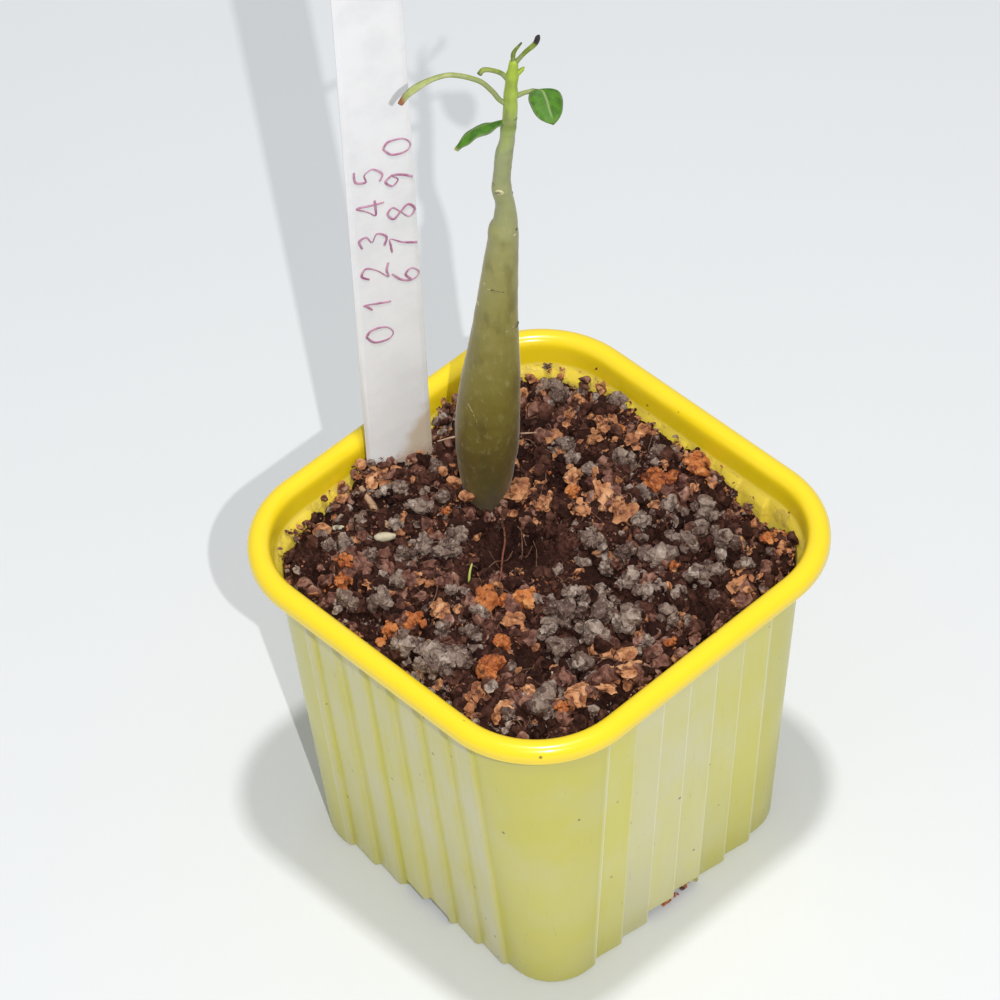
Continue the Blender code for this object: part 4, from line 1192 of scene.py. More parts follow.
def peat_finish(name, settings, by_grain):
    """Dark red-brown peat, damp in places. Loose grains also differ one from another, and lumps carry painted
    light and shade.
    """
    finish = Finish(name, specular_ior_level=0.15)
    fine = finish.noise(finish.place, 0.7 * MM, 5.0, 0.7)
    tone = fine * 0.8 + finish.noise(finish.place, 7.0 * MM) * 0.7 - 0.3
    if by_grain:
        # The grains' tone holds painted light and shade from the lump and clump shapes.
        tone = tone * 0.7 + finish.attribute("shade") * 0.3 + finish.attribute("tone") * 0.25 - 0.1
    finish.colour = finish.ramp(tone.clamp(), (
        (0.2, settings.peat_dark), (0.48, settings.peat_colour), (0.7, settings.peat_light),
        (0.92, PEAT_CREST)))
    return finish.paint(0.65 + fine * 0.3, fine, 0.4 * MM)


def grain_finish(name):
    """Grains in a row of colours, from the darkest to the lightest, with fine specks and painted shade in dark
    hollows.
    """
    colours, speck_colour, speck_share, roughness, rise = GRAINS[name]
    finish = Finish(name, specular_ior_level=0.25)
    mottle = finish.noise(finish.place, 0.9 * MM, 5.0, 0.7)
    # The grains' tone holds painted light and shade from the lump and clump shapes.
    tone = finish.attribute("shade") * 0.25 + finish.attribute("tone") * 0.6 + mottle * 0.9 + (rise - 0.42)
    last = len(colours) - 1
    stops = [(0.06 + 0.88 * k / last, colour) for k, colour in enumerate(colours)]
    finish.colour = finish.ramp(tone.clamp(), stops)
    speck = finish.noise(finish.place, 0.4 * MM, 3.0, 0.6)
    finish.over(finish.between(speck, 0.58, 0.66) * speck_share, speck_colour)
    # Painted shade: dark patches where noise stands for hollows between crumbs.
    hollow_shade = finish.noise(finish.place, 1.3 * MM)
    finish.over(finish.outside(hollow_shade, 0.34, 0.46) * 0.75, HOLLOW_SHADE_COLOUR)
    return finish.paint((roughness + mottle * 0.4 - 0.2).clamp(), mottle * 0.7 + speck * 0.3, 0.3 * MM)


def set_tones(bm, tones):
    """Keep a tone for each point of a shape."""
    layer = bm.verts.layers.float.new("tone")
    for vert, tone in zip(bm.verts, tones):
        vert[layer] = tone


def hull_of(points):
    """The closed hull round some points."""
    bm = bmesh.new()
    for point in points:
        bm.verts.new(point)
    hull = bmesh.ops.convex_hull(bm, input=bm.verts)
    bmesh.ops.delete(bm, geom=hull["geom_interior"], context="VERTS")
    bmesh.ops.recalc_face_normals(bm, faces=bm.faces)
    return bm


def any_direction(rng):
    return Vector([rng.gauss(0.0, 1.0) for _ in range(3)]).normalized()


def any_place(rng):
    """A place of its own in the noise."""
    return Vector([rng.uniform(0.0, 50.0) for _ in range(3)])


def rock_shapes(rng, count, points):
    """Angular crumbs one millimetre across."""
    shapes = []
    for _ in range(count):
        stretch = Vector((rng.uniform(0.75, 1.0), rng.uniform(0.6, 1.0), rng.uniform(0.55, 0.9)))
        ways = [any_direction(rng) * rng.uniform(0.75, 1.0) for _ in range(points)]
        shape = hull_of([0.5 * MM * (way * stretch) for way in ways])
        own = rng.uniform(0.2, 0.8)
        set_tones(shape, [own + rng.uniform(-0.2, 0.2) for _ in shape.verts])
        shapes.append(shape)
    return shapes


def lump_shapes(rng, count, flat, jag):
    """Craggy lumps one millimetre across, with painted light on their crests and tops and painted shade in
    their dips and undersides.
    """
    shapes = []
    for _ in range(count):
        bm = bmesh.new()
        bmesh.ops.create_icosphere(bm, subdivisions=3 if jag > 0.5 else 2, radius=0.5)
        origin = any_place(rng)
        stretch = Vector((1.0, rng.uniform(0.6, 0.95), flat * rng.uniform(0.8, 1.2)))
        tones = []
        for vert in bm.verts:
            way = vert.co.copy()
            bump = noise.noise(way * 2.8 + origin) + 0.7 * noise.noise(way * 7.0 + origin)
            # The tone holds painted light and shade: lighter where the surface bulges out and on top, darker
            # in dips and underneath.
            tones.append(0.45 + 0.9 * bump + 0.4 * way.z)
            vert.co = way * max(1.0 + jag * bump, 0.25) * stretch * MM
        bmesh.ops.recalc_face_normals(bm, faces=bm.faces)
        set_tones(bm, tones)
        shapes.append(bm)
    return shapes


def round_crumb(rng):
    """A rounded crumb about as large as a ball of radius one."""
    bm = bmesh.new()
    bmesh.ops.create_icosphere(bm, subdivisions=2, radius=1.0)
    origin = any_place(rng)
    for vert in bm.verts:
        bump = 0.45 * noise.noise(vert.co * 1.5 + origin) + 0.4 * noise.noise(vert.co * 4.0 + origin)
        vert.co = vert.co * (0.85 + bump)
    return bm


def clump_shapes(rng, count, grains, points, flat, largest):
    """Clumps of crumbs grown together, each with its own tone, and painted shade on the lower crumbs. With no
    points the crumbs are rounded.
    """
    shapes = []
    for _ in range(count):
        bm = bmesh.new()
        tones = []
        for index in range(grains):
            size = rng.uniform(0.14, largest) if index else 0.6
            aside = rng.uniform(0.12, 0.44) if index else 0.0
            angle = rng.uniform(0.0, math.tau)
            middle = Vector((math.cos(angle), math.sin(angle) * 0.8, 0.0)) * aside
            middle.z = rng.uniform(-0.15, 0.35) * (1.0 - aside) * flat
            if points:
                ways = [any_direction(rng) * rng.uniform(0.65, 1.0) for _ in range(points)]
            else:
                crumb = round_crumb(rng)
                ways = [vert.co.copy() for vert in crumb.verts]
            places = [(middle + Vector((way.x, way.y, way.z * flat)) * size * 0.5) * MM for way in ways]
            if points:
                crumb = hull_of(places)
            else:
                for vert, place in zip(crumb.verts, places):
                    vert.co = place
            # A random tone for each crumb, plus painted shade: crumbs lower in the clump are darker.
            tones += [rng.uniform(0.1, 0.75) + middle.z] * len(crumb.verts)
            mesh = mesh_of(crumb, "crumb")
            bm.from_mesh(mesh)
            bpy.data.meshes.remove(mesh)
        set_tones(bm, tones)
        shapes.append(bm)
    return shapes


def long_grain(rng, width):
    """A grain one millimetre long."""
    bm = bmesh.new()
    bmesh.ops.create_icosphere(bm, subdivisions=3, radius=0.5)
    for vert in bm.verts:
        swell = 1.0 + 0.12 * noise.noise(vert.co * 3.0 + Vector((rng.random(), 0.0, 0.0)))
        taper = width * (1.0 - 0.35 * vert.co.x)
        vert.co = Vector((vert.co.x, vert.co.y * taper, vert.co.z * taper)) * swell * MM
    return bm


def on_top(trees, x, y, lift):
    """A point above the highest of some surfaces."""
    hits = [tree.ray_cast(Vector((x, y, RAY_TOP)), -UP)[0] for tree in trees]
    height = max((hit.z for hit in hits if hit), default=SOIL_LEVEL)
    return Vector((x, y, height + lift))


def hold_in(place, size):
    """Pull a lump in from the pot's wall as far as its size asks for."""
    flat = Vector((place.x, place.y, 0.0))
    way = flat.normalized()
    if place.z > LEDGE_TOP:
        limit = outline_reach(way, LEDGE_HALF, LEDGE_CORNER)
    else:
        limit = outline_reach(way, WALL_TOP_HALF - WALL, WALL_TOP_CORNER - WALL)
    reach = min(flat.length, limit - 0.66 * size * MM)
    return way * reach + UP * place.z


def any_turn(rng, tilt):
    return rng.uniform(-tilt, tilt), rng.uniform(-tilt, tilt), rng.uniform(0.0, math.tau)


def set_out(tree, table, rng, growth, lift, tilt):
    """Places, sizes and turns for pieces in a table of (x, y, size)."""
    places = []
    for x, y, size in table:
        spot = on_top((tree,), x * MM, y * MM, (lift * size + 0.4) * MM)
        places.append((hold_in(spot, size * growth), size * growth, any_turn(rng, tilt)))
    return places


# Plant

def trunk_point(height):
    """The middle of the trunk at a height above the soil in millimetres."""
    return FOOT + (LEAN * smooth_between(TRUNK, height, 1) + UP * height) * MM + UP * SOIL_LEVEL


def on_trunk(height, azimuth):
    """A point on the trunk's skin and the direction out of it."""
    out = flat_way(math.radians(azimuth))
    return trunk_point(height) + out * smooth_between(TRUNK, height, 2) * MM, out


def skin_finish(settings):
    """Living skin: brown-green and waxy at the foot, olive above and fresh green at the tip."""
    finish = Finish(
        "stem_skin", sheen_weight=0.22, sheen_roughness=0.3, specular_ior_level=0.5, subsurface_weight=0.06,
        subsurface_scale=1.0 * MM, sheen_tint=(0.86, 0.78, 0.84, 1.0), subsurface_radius=(0.5, 0.8, 0.2))
    x, y, z = finish.axes(finish.place)
    blotch = finish.noise(finish.vector(x, y, z * 0.4), 4.5 * MM)
    fine = finish.noise(finish.vector(x, y, z * 0.6), 1.1 * MM, 4.0, 0.6)
    height = (z - SOIL_LEVEL) / SKIN_SPAN + (blotch - 0.5) * 0.2
    finish.colour = finish.ramp(height, (
        (0.0, (0.21, 0.18, 0.10)), (0.05, (0.16, 0.125, 0.04)), (0.14, settings.foot_colour),
        (0.28, (0.185, 0.15, 0.024)), (0.42, (0.25, 0.22, 0.05)), (0.56, settings.middle_colour),
        (0.66, (0.30, 0.305, 0.12)), (0.82, (0.315, 0.35, 0.16)), (0.885, settings.top_colour),
        (1.0, (0.34, 0.46, 0.03)),
    ))
    finish.over(finish.between(fine, 0.52, 0.75) * 0.3, SKIN_FLECKS)
    finish.over(finish.between(1.0 - blotch, 0.5, 0.66) * 0.35, SKIN_BLOTCHES)
    pores = finish.cells(finish.vector(x, y, z * 0.7), 1.3 * MM)
    finish.over(finish.outside(pores, 0.06, 0.2) * 0.05, SKIN_PORES)
    nodes = finish.noise(finish.vector(x * 0.3, y * 0.3, z), 2.4 * MM, 1.0)
    finish.over(finish.between(nodes, 0.56, 0.76) * finish.between(z, *RINGED_SKIN) * 0.2, SKIN_RINGS)
    node_gap = (z + (blotch - 0.5) * 0.001 - (SOIL_LEVEL + NODE_HEIGHT)).size()
    finish.over(finish.outside(node_gap, 0.0002, 0.0011) * 0.55, NODE_COLOUR)
    dirt = finish.outside(z + (blotch - 0.5) * 0.01, *SOILED_SKIN) * 0.5
    finish.over(dirt, SKIN_DIRT)
    return finish.paint(0.36 + fine * 0.2, fine * 0.6 + blotch * 0.4, 0.15 * MM)


def leaf_finish(name, settings, tip, kind):
    """A fleshy leaf: pale rib, faint side veins, painted sheen on its edges and a tip of its own colour."""
    finish = Finish(
        name + "_skin", specular_ior_level=0.32, subsurface_weight=0.06, subsurface_scale=0.5 * MM,
        subsurface_radius=(0.3, 0.8, 0.1))
    along = finish.attribute("along")
    aside = finish.attribute("across").size()
    mottle = finish.noise(finish.place, 1.3 * MM)
    deep = getattr(settings, kind + "_colour")
    fresh = getattr(settings, kind + "_light")
    finish.colour = finish.mix(finish.between(mottle + along * 0.25, 0.45, 0.85), deep, fresh)
    veins = (along * 62.0 - aside * 9.0).math("SINE")
    vein_share = finish.between(veins, 0.88, 1.0) * finish.between(along, 0.5, 0.6) * 0.07
    finish.over(vein_share, settings.rib_colour)
    rib = finish.outside(aside, 0.03, 0.11) * 0.7
    finish.over(rib, settings.rib_colour)
    stalk_end = 0.1 if name == "leaf_lower_left" else 0.36
    finish.over(finish.outside(along, stalk_end, stalk_end + 0.1), settings.stalk_colour)
    # Painted sheen: a pale grey line along both edges of the blade.
    finish.over(finish.between(aside, 0.84, 1.0) * 0.45, LEAF_EDGE_SHEEN)
    tip_start = 0.72 if name == "shoot_tip_right" else 0.87
    finish.over(finish.between(along + (mottle - 0.5) * 0.14, tip_start, tip_start + 0.09), tip)
    relief = finish.between(veins, 0.5, 1.0) * -0.25 + mottle * 0.4 - rib * 0.5
    return finish.paint(0.4 + mottle * 0.25, relief)


def leaf_mesh(name):
    """A stalk that widens into a blade, folded along its rib and thin at its edges."""
    height, points, widths, roll, fold, _ = LEAVES[name]
    root = trunk_point(height)
    corners = []
    for azimuth, out, up in points:
        angle = math.radians(azimuth)
        corners.append(root + Vector((out * math.cos(angle), out * math.sin(angle), up)) * MM)
    route = smooth_route(corners, LEAF_STEPS)
    last = LEAF_STEPS - 1
    face_shares = [(1, across) for across in LEAF_SHARES]
    face_shares += [(-1, across) for across in LEAF_SHARES[-2:0:-1]]
    rings = []
    for index, point in enumerate(route):
        share = index / last
        along = (route[min(index + 1, last)] - route[max(index - 1, 0)]).normalized()
        if name == "leaf_right" and STRAIGHT_PART[0] < share < STRAIGHT_PART[1]:
            along = (route[last] - point).normalized()
        level = along.cross(UP).normalized()
        level.rotate(Matrix.Rotation(math.radians(roll), 3, along))
        face = along.cross(level)
        half = max(smooth_between(widths, share, 1), 0.15) * MM
        blade_part = min(max((half - STALK) / (1.2 * STALK), 0.0), 1.0)
        ring = []
        for side, across in face_shares:
            edge = abs(across)
            round_rise = STALK * math.sqrt(max(1.0 - edge * edge, 0.0))
            blade_rise = BLADE / 2 * (1.0 - 0.75 * edge ** 3) * (0.0 if edge == 1.0 else 1.0)
            rib_rise = RIB_RISE * max(1.0 - edge / 0.2, 0.0) * (-0.6 if side == 1 else 1.0)
            rise = side * (round_rise * (1 - blade_part) + (blade_rise + rib_rise) * blade_part)
            lift = fold * max(half - STALK, 0.0) * edge ** 1.3
            wave = LEAF_WAVE * blade_part * edge * math.sin(share * 21.0 + 2.0 * across)
            ring.append(point + level * (across * half) + face * (rise + lift + wave))
        rings.append(ring)
    bm = loft(rings)
    bmesh.ops.recalc_face_normals(bm, faces=bm.faces)
    mesh = mesh_of(bm, name)
    set_values(mesh, "along", np.repeat(np.arange(LEAF_STEPS) / last, len(face_shares)))
    set_values(mesh, "across", [across for _, across in face_shares] * LEAF_STEPS)
    mesh.shade_smooth()
    return mesh


def scar_shapes(rng):
    """Leaf scars: low oval cushions with a dimple."""
    shapes = []
    for _ in range(3):
        rings = []
        for radius, rise in SCAR_RINGS:
            ring = []
            for k in range(SCAR_POINTS):
                angle = k / SCAR_POINTS * math.tau
                ragged = radius * (1.0 + rng.uniform(-0.08, 0.08))
                ring.append(Vector((math.cos(angle) * ragged, math.sin(angle) * ragged * 0.62, rise)) * MM)
            rings.append(ring)
        shapes.append(loft(rings))
    return shapes


# Label

def label_frame():
    """The label's own directions: across its width, along its length and out of its face."""
    flat = flat_way(LABEL_AZIMUTH)
    across = (flat - LABEL_AXIS * flat.dot(LABEL_AXIS)).normalized()
    return across, LABEL_AXIS, across.cross(LABEL_AXIS)


def label_place():
    """The matrix that takes the label's own coordinates, from the middle of its top edge, into place."""
    across, along, _ = label_frame()
    middle = LABEL_EDGE + across * LABEL_WIDTH / 2
    top = middle + along * (LABEL_TOP - middle.z) / along.z
    return Matrix.Translation(top) @ Matrix(label_frame()).transposed().to_4x4()


def label_outline(inset):
    """The label's outline, moved in by a border."""
    half = LABEL_WIDTH / 2 - inset
    tip = max(LABEL_TIP_HALF - inset, 0.15 * MM)
    radius = max(LABEL_CORNER - inset, 0.3 * MM)
    shoulder = LABEL_POINT - LABEL_LENGTH + inset * 0.2
    outline = [(-tip, inset - LABEL_LENGTH), (tip, inset - LABEL_LENGTH), (half, shoulder)]
    for middle, first in ((half - radius, 0.0), (radius - half, math.pi / 2)):
        for step in range(9):
            angle = first + step / 8 * math.pi / 2
            outline.append((middle + radius * math.cos(angle), radius * (math.sin(angle) - 1.0) - inset))
    outline.append((-half, shoulder))
    return outline


def label_body():
    """A strip with softened edges and a shallow border round both faces."""
    half = LABEL_THICKNESS / 2
    levels = (
        (LABEL_BORDER, -half), (LABEL_BORDER * 0.25, LABEL_SLOPE - half),
        (LABEL_BEVEL, LABEL_SLOPE * 1.3 - half), (0.0, LABEL_SLOPE * 1.8 - half),
        (0.0, half - LABEL_SLOPE * 1.8), (LABEL_BEVEL, half - LABEL_SLOPE * 1.3),
        (LABEL_BORDER * 0.25, half - LABEL_SLOPE), (LABEL_BORDER, half),
    )
    rings = [[Vector((x, y, level)) for x, y in label_outline(inset)] for inset, level in levels]
    bm = loft(rings)
    bmesh.ops.transform(bm, matrix=label_place(), verts=bm.verts)
    bmesh.ops.recalc_face_normals(bm, faces=bm.faces)
    return bm


def label_finish(settings):
    """White plastic, stained tan where it goes into the soil, with painted shade towards its top and along its
    left edge.
    """
    finish = Finish(
        "label_plastic", specular_ior_level=0.45, subsurface_weight=0.1, subsurface_scale=1.0 * MM)
    place = finish.place
    x, y, z = finish.axes(place)
    across = label_frame()[0]
    aside = x * across.x + y * across.y - (LABEL_EDGE.x * across.x + LABEL_EDGE.y * across.y)
    cloud = finish.noise(place, 6.0 * MM)
    fine = finish.noise(place, 0.9 * MM)
    # Greyer in random clouds, plus painted shade that darkens the label towards its top.
    cloud_and_top_shade = finish.between(cloud, 0.35, 0.75) * 0.3 + finish.between(z, *LABEL_TOP_SHADE_HEIGHTS) * 0.6
    finish.colour = finish.mix(cloud_and_top_shade, settings.label_colour, LABEL_GREY_AND_SHADE)
    reach = 0.0718 + (aside - 0.0075) * 1.5 + (cloud - 0.5) * 0.01
    stain = finish.outside(z - reach, -0.002, 0.003) * finish.between(aside, 0.0035, 0.009)
    finish.over((stain * 0.8).clamp(), settings.stain_colour)
    foot = finish.outside(z + (fine - 0.5) * 0.004 + (cloud - 0.5) * 0.004, *SOILED_LABEL)
    finish.over((foot * 0.7).clamp(), LABEL_FOOT)
    # Painted shade along the label's left edge.
    finish.over(finish.outside(aside, 0.0002, 0.0011) * 0.45, LABEL_LEFT_EDGE_SHADE)
    finish.over(finish.outside(finish.cells(place, 14.0 * MM), 0.012, 0.022) * 0.5, LABEL_SPECK)
    return finish.paint(0.36 + fine * 0.12, fine * 0.4 + cloud * 0.6, 0.03 * MM)


def pen_finish(settings):
    """Faded ink."""
    finish = Finish("pen_ink", specular_ior_level=0.3)
    fade = finish.noise(finish.place, 1.6 * MM)
    finish.colour = finish.mix(finish.between(fade, 0.3, 0.7), settings.ink_colour, settings.ink_faded)
    return finish.paint(0.5 + fade * 0.1)


def figure_paths():
    """The pen's routes on the label. The figures lie along its length and read from its foot upwards."""
    matrix = label_place()
    face = -1.0 if (matrix.to_3x3() @ UP).dot(CAMERA_PLACE) < 0.0 else 1.0
    level = face * (LABEL_THICKNESS / 2 - PEN_SINK)
    paths = []
    for figures, aside, down in FIGURE_ROWS:
        for index, figure in enumerate(figures):
            points = []
            for along, rise in FIGURES[figure]:
                x = aside * MM - (rise - FIGURE_MIDDLE) * FIGURE_WIDTH
                y = -down * MM + index * FIGURE_PITCH + (along + FIGURE_SLANT * rise) * FIGURE_WIDTH
                points.append(matrix @ Vector((x, y, level)))
            route = smooth_route(points, 6 * len(points))
            last = len(route) - 1
            radii = [PEN_RADIUS * (0.8 + 0.2 * math.sin(9.0 * k / last)) for k in range(last + 1)]
            paths.append(list(zip(route, radii)))
    return paths


# Settings, operators and panel

def colour(name, description, default):
    return FloatVectorProperty(
        name=name, description=description, subtype="COLOR", size=3, min=0.0, max=1.0, default=default)


def amount(name, description, default, **unit):
    return FloatProperty(name=name, description=description, min=0.0, default=default, **unit)


def number(name, description, default, least=0):
    return IntProperty(name=name, description=description, min=least, default=default)


class PotSettings(bpy.types.PropertyGroup):
    rim_colour: colour("Rim", "Colour of the rim and the inside", (0.97, 0.72, 0.016))
    rim_shade: colour("Rim shade", "Deeper tint in the rim's plastic", (0.88, 0.64, 0.006))
    wall_colour: colour("Wall", "Colour of the outer wall", (0.585, 0.545, 0.087))
    haze_and_reflection_colour: colour("Haze", "Pale film on the outer wall", (0.61, 0.575, 0.34))
    pleat_highlight_colour: colour("Pleat lines", "Colour of the lines at the pleats", (0.86, 0.84, 0.62))
    pleat_shade: colour("Pleat steps", "Colour of the steps that face the light", (0.40, 0.375, 0.04))
    patch_colour: colour("Patches", "Fresher yellow patches on the wall", (0.62, 0.57, 0.05))
    cream_and_highlight_colour: colour("Cream", "Pale film on the ledge", (0.93, 0.80, 0.25))
    smear_colour: colour("Smears", "Dried soil on the ledge", (0.42, 0.27, 0.10))
    dirt_colour: colour("Specks", "Colour of the dark specks", (0.09, 0.06, 0.03))
    corner_steps: number("Corner steps", "Steps in each rounded corner", 22, 4)
    bead_steps: number("Rim steps", "Steps round the rolled rim", 20, 4)


class SoilSettings(bpy.types.PropertyGroup):
    peat_dark: colour("Dark peat", "Darkest peat", (0.008, 0.0026, 0.002))
    peat_colour: colour("Peat", "Main colour of the peat", (0.036, 0.0115, 0.0075))
    peat_light: colour("Light peat", "Lightest peat", (0.105, 0.042, 0.028))
    crumb_rise: amount("Crumb rise", "Height of the crumbs in the ground", 0.8 * MM, **LENGTH)
    peat_crumbs: amount("Peat crumbs", "Loose peat crumbs on each square metre", 2.2e6)
    peat_lumps: amount("Peat lumps", "Peat lumps on each square metre", 2.2e5)
    border_lumps: number("Border lumps", "Lumps where the soil meets the ledge", 600)
    ledge_crumbs: number("Ledge crumbs", "Loose crumbs on the ledge", 90)
    grey_grit: amount("Grey grit", "Grey grains on each square metre of their patches", 0.8e6)
    bark_bits: amount("Bark bits", "Bark chips on each square metre of their patches", 3.0e5)
    seed: number("Seed", "Seed of the scattering", 4)


class PlantSettings(bpy.types.PropertyGroup):
    foot_colour: colour("Foot", "Skin near the soil", (0.135, 0.10, 0.022))
    middle_colour: colour("Middle", "Skin half way up", (0.30, 0.28, 0.085))
    top_colour: colour("Top", "Skin near the tip", (0.37, 0.49, 0.06))
    blade_colour: colour("Blade", "Deep green of the blades", (0.036, 0.115, 0.007))
    blade_light: colour("Blade light", "Light green of the blades", (0.07, 0.20, 0.009))
    shoot_colour: colour("Shoot", "Youngest leaves", (0.15, 0.2, 0.022))
    shoot_light: colour("Shoot light", "Light parts of the youngest leaves", (0.3, 0.36, 0.06))
    faded_colour: colour("Faded", "Blade of the fading leaf", (0.27, 0.33, 0.09))
    faded_light: colour("Faded light", "Light parts of the fading leaf", (0.42, 0.46, 0.17))
    rib_colour: colour("Ribs", "Midrib and veins", (0.26, 0.34, 0.13))
    stalk_colour: colour("Stalks", "Leaf stalks", (0.27, 0.33, 0.10))


class LabelSettings(bpy.types.PropertyGroup):
    label_colour: colour("Plastic", "Colour of the label", (0.94, 0.942, 0.955))
    stain_colour: colour("Stain", "Soil stain on the label", (0.66, 0.53, 0.36))
    ink_colour: colour("Ink", "Colour of the pen's lines", (0.36, 0.13, 0.23))
    ink_faded: colour("Faded ink", "Colour of the pen's faded lines", (0.56, 0.32, 0.43))


class StageSettings(bpy.types.PropertyGroup):
    floor_colour: colour("Floor", "Colour of the floor", (0.785, 0.805, 0.83))
    surround: amount("Surround", "Strength of the light from all round", 0.44)
    key_power: amount("Key light", "Power of the key light", 3.15, **POWER)
    key_size: amount("Key size", "Width of the key light", 0.006, **LENGTH)
    overhead_power: amount("Overhead light", "Power of the soft light from above", 3.9, **POWER)
    overhead_size: amount("Overhead size", "Width of the soft light from above", 0.054, **LENGTH)


class DESERTROSE_OT_stage(bpy.types.Operator):
    """Add the floor, the light and the camera"""

    bl_idname = "desert_rose.stage"
    bl_label = "Stage"

    def execute(self, context):
        settings = context.scene.desert_rose_stage
        context.scene.view_settings.view_transform = "Standard"
        self.add_floor(settings)
        self.add_surround(context, settings)
        lamps = (
            ("key_light", KEY_REACH, settings.key_power, settings.key_size),
            ("overhead_light", OVERHEAD_REACH, settings.overhead_power, settings.overhead_size),
        )
        for name, reach, power, size in lamps:
            self.add_lamp(context, name, reach, power, size)
        self.add_camera(context)
        return {"FINISHED"}

    def add_floor(self, settings):
        finish = Finish("floor_paint", specular_ior_level=0.1)
        cloud = finish.noise(finish.place, 0.09, 2.0)
        shade = [0.975 * channel for channel in settings.floor_colour]
        finish.colour = finish.mix(cloud, settings.floor_colour, shade)
        bm = bmesh.new()
        bmesh.ops.create_grid(bm, x_segments=1, y_segments=1, size=FLOOR_HALF)
        add_object("floor", mesh_of(bm, "floor"), finish.paint(0.75 + cloud * 0.1))

    def add_surround(self, context, settings):
        world = bpy.data.worlds.new("surround")
        world.use_nodes = True
        background = world.node_tree.nodes["Background"]
        background.inputs["Color"].default_value = SURROUND_COLOUR
        background.inputs["Strength"].default_value = settings.surround
        context.scene.world = world

    def add_lamp(self, context, name, reach, power, size):
        """Add a square lamp that far from the object's middle, facing it."""
        lamp = bpy.data.lights.new(name, "AREA")
        lamp.energy = power
        lamp.size = size
        lamp.color = LAMP_COLOUR
        item = bpy.data.objects.new(name, lamp)
        item.location = LAMPS_AIM + reach
        item.rotation_euler = reach.to_track_quat("Z", "Y").to_euler()
        context.scene.collection.objects.link(item)

    def add_camera(self, context):
        level = math.cos(CAMERA_ELEVATION)
        back = Vector((
            math.sin(CAMERA_AZIMUTH) * level, -math.cos(CAMERA_AZIMUTH) * level, math.sin(CAMERA_ELEVATION)))
        right = flat_way(CAMERA_AZIMUTH)
        up = back.cross(right)
        cosine, sine = math.cos(CAMERA_ROLL), math.sin(CAMERA_ROLL)
        turn = Matrix((cosine * right + sine * up, cosine * up - sine * right, back)).transposed()
        data = bpy.data.cameras.new("camera")
        data.lens = CAMERA_LENS
        data.sensor_width = SENSOR
        data.sensor_fit = "HORIZONTAL"
        camera = bpy.data.objects.new("camera", data)
        camera.matrix_world = Matrix.Translation(CAMERA_PLACE) @ turn.to_4x4()
        context.scene.collection.objects.link(camera)
        context.scene.camera = camera


class DESERTROSE_OT_pot(bpy.types.Operator):
    """Build the pot as one moulded shell with its pleats, ledge, rolled rim and drain notches"""

    bl_idname = "desert_rose.pot"
    bl_label = "Pot"

    def execute(self, context):
        settings = context.scene.desert_rose_pot
        levels = pot_levels(settings.corner_steps, settings.bead_steps)
        mesh = mesh_of(loft([ring for ring, _ in levels]), "pot_shell")
        set_values(mesh, "wall", [wall for ring, wall in levels for _ in ring])
        pot = cut_notches(add_object("pot_shell", mesh, pot_finish(settings)))
        pot.data.set_sharp_from_angle(angle=SHARP_ANGLE)
        keep(pot, "pot_plastic", "pot")
        return {"FINISHED"}


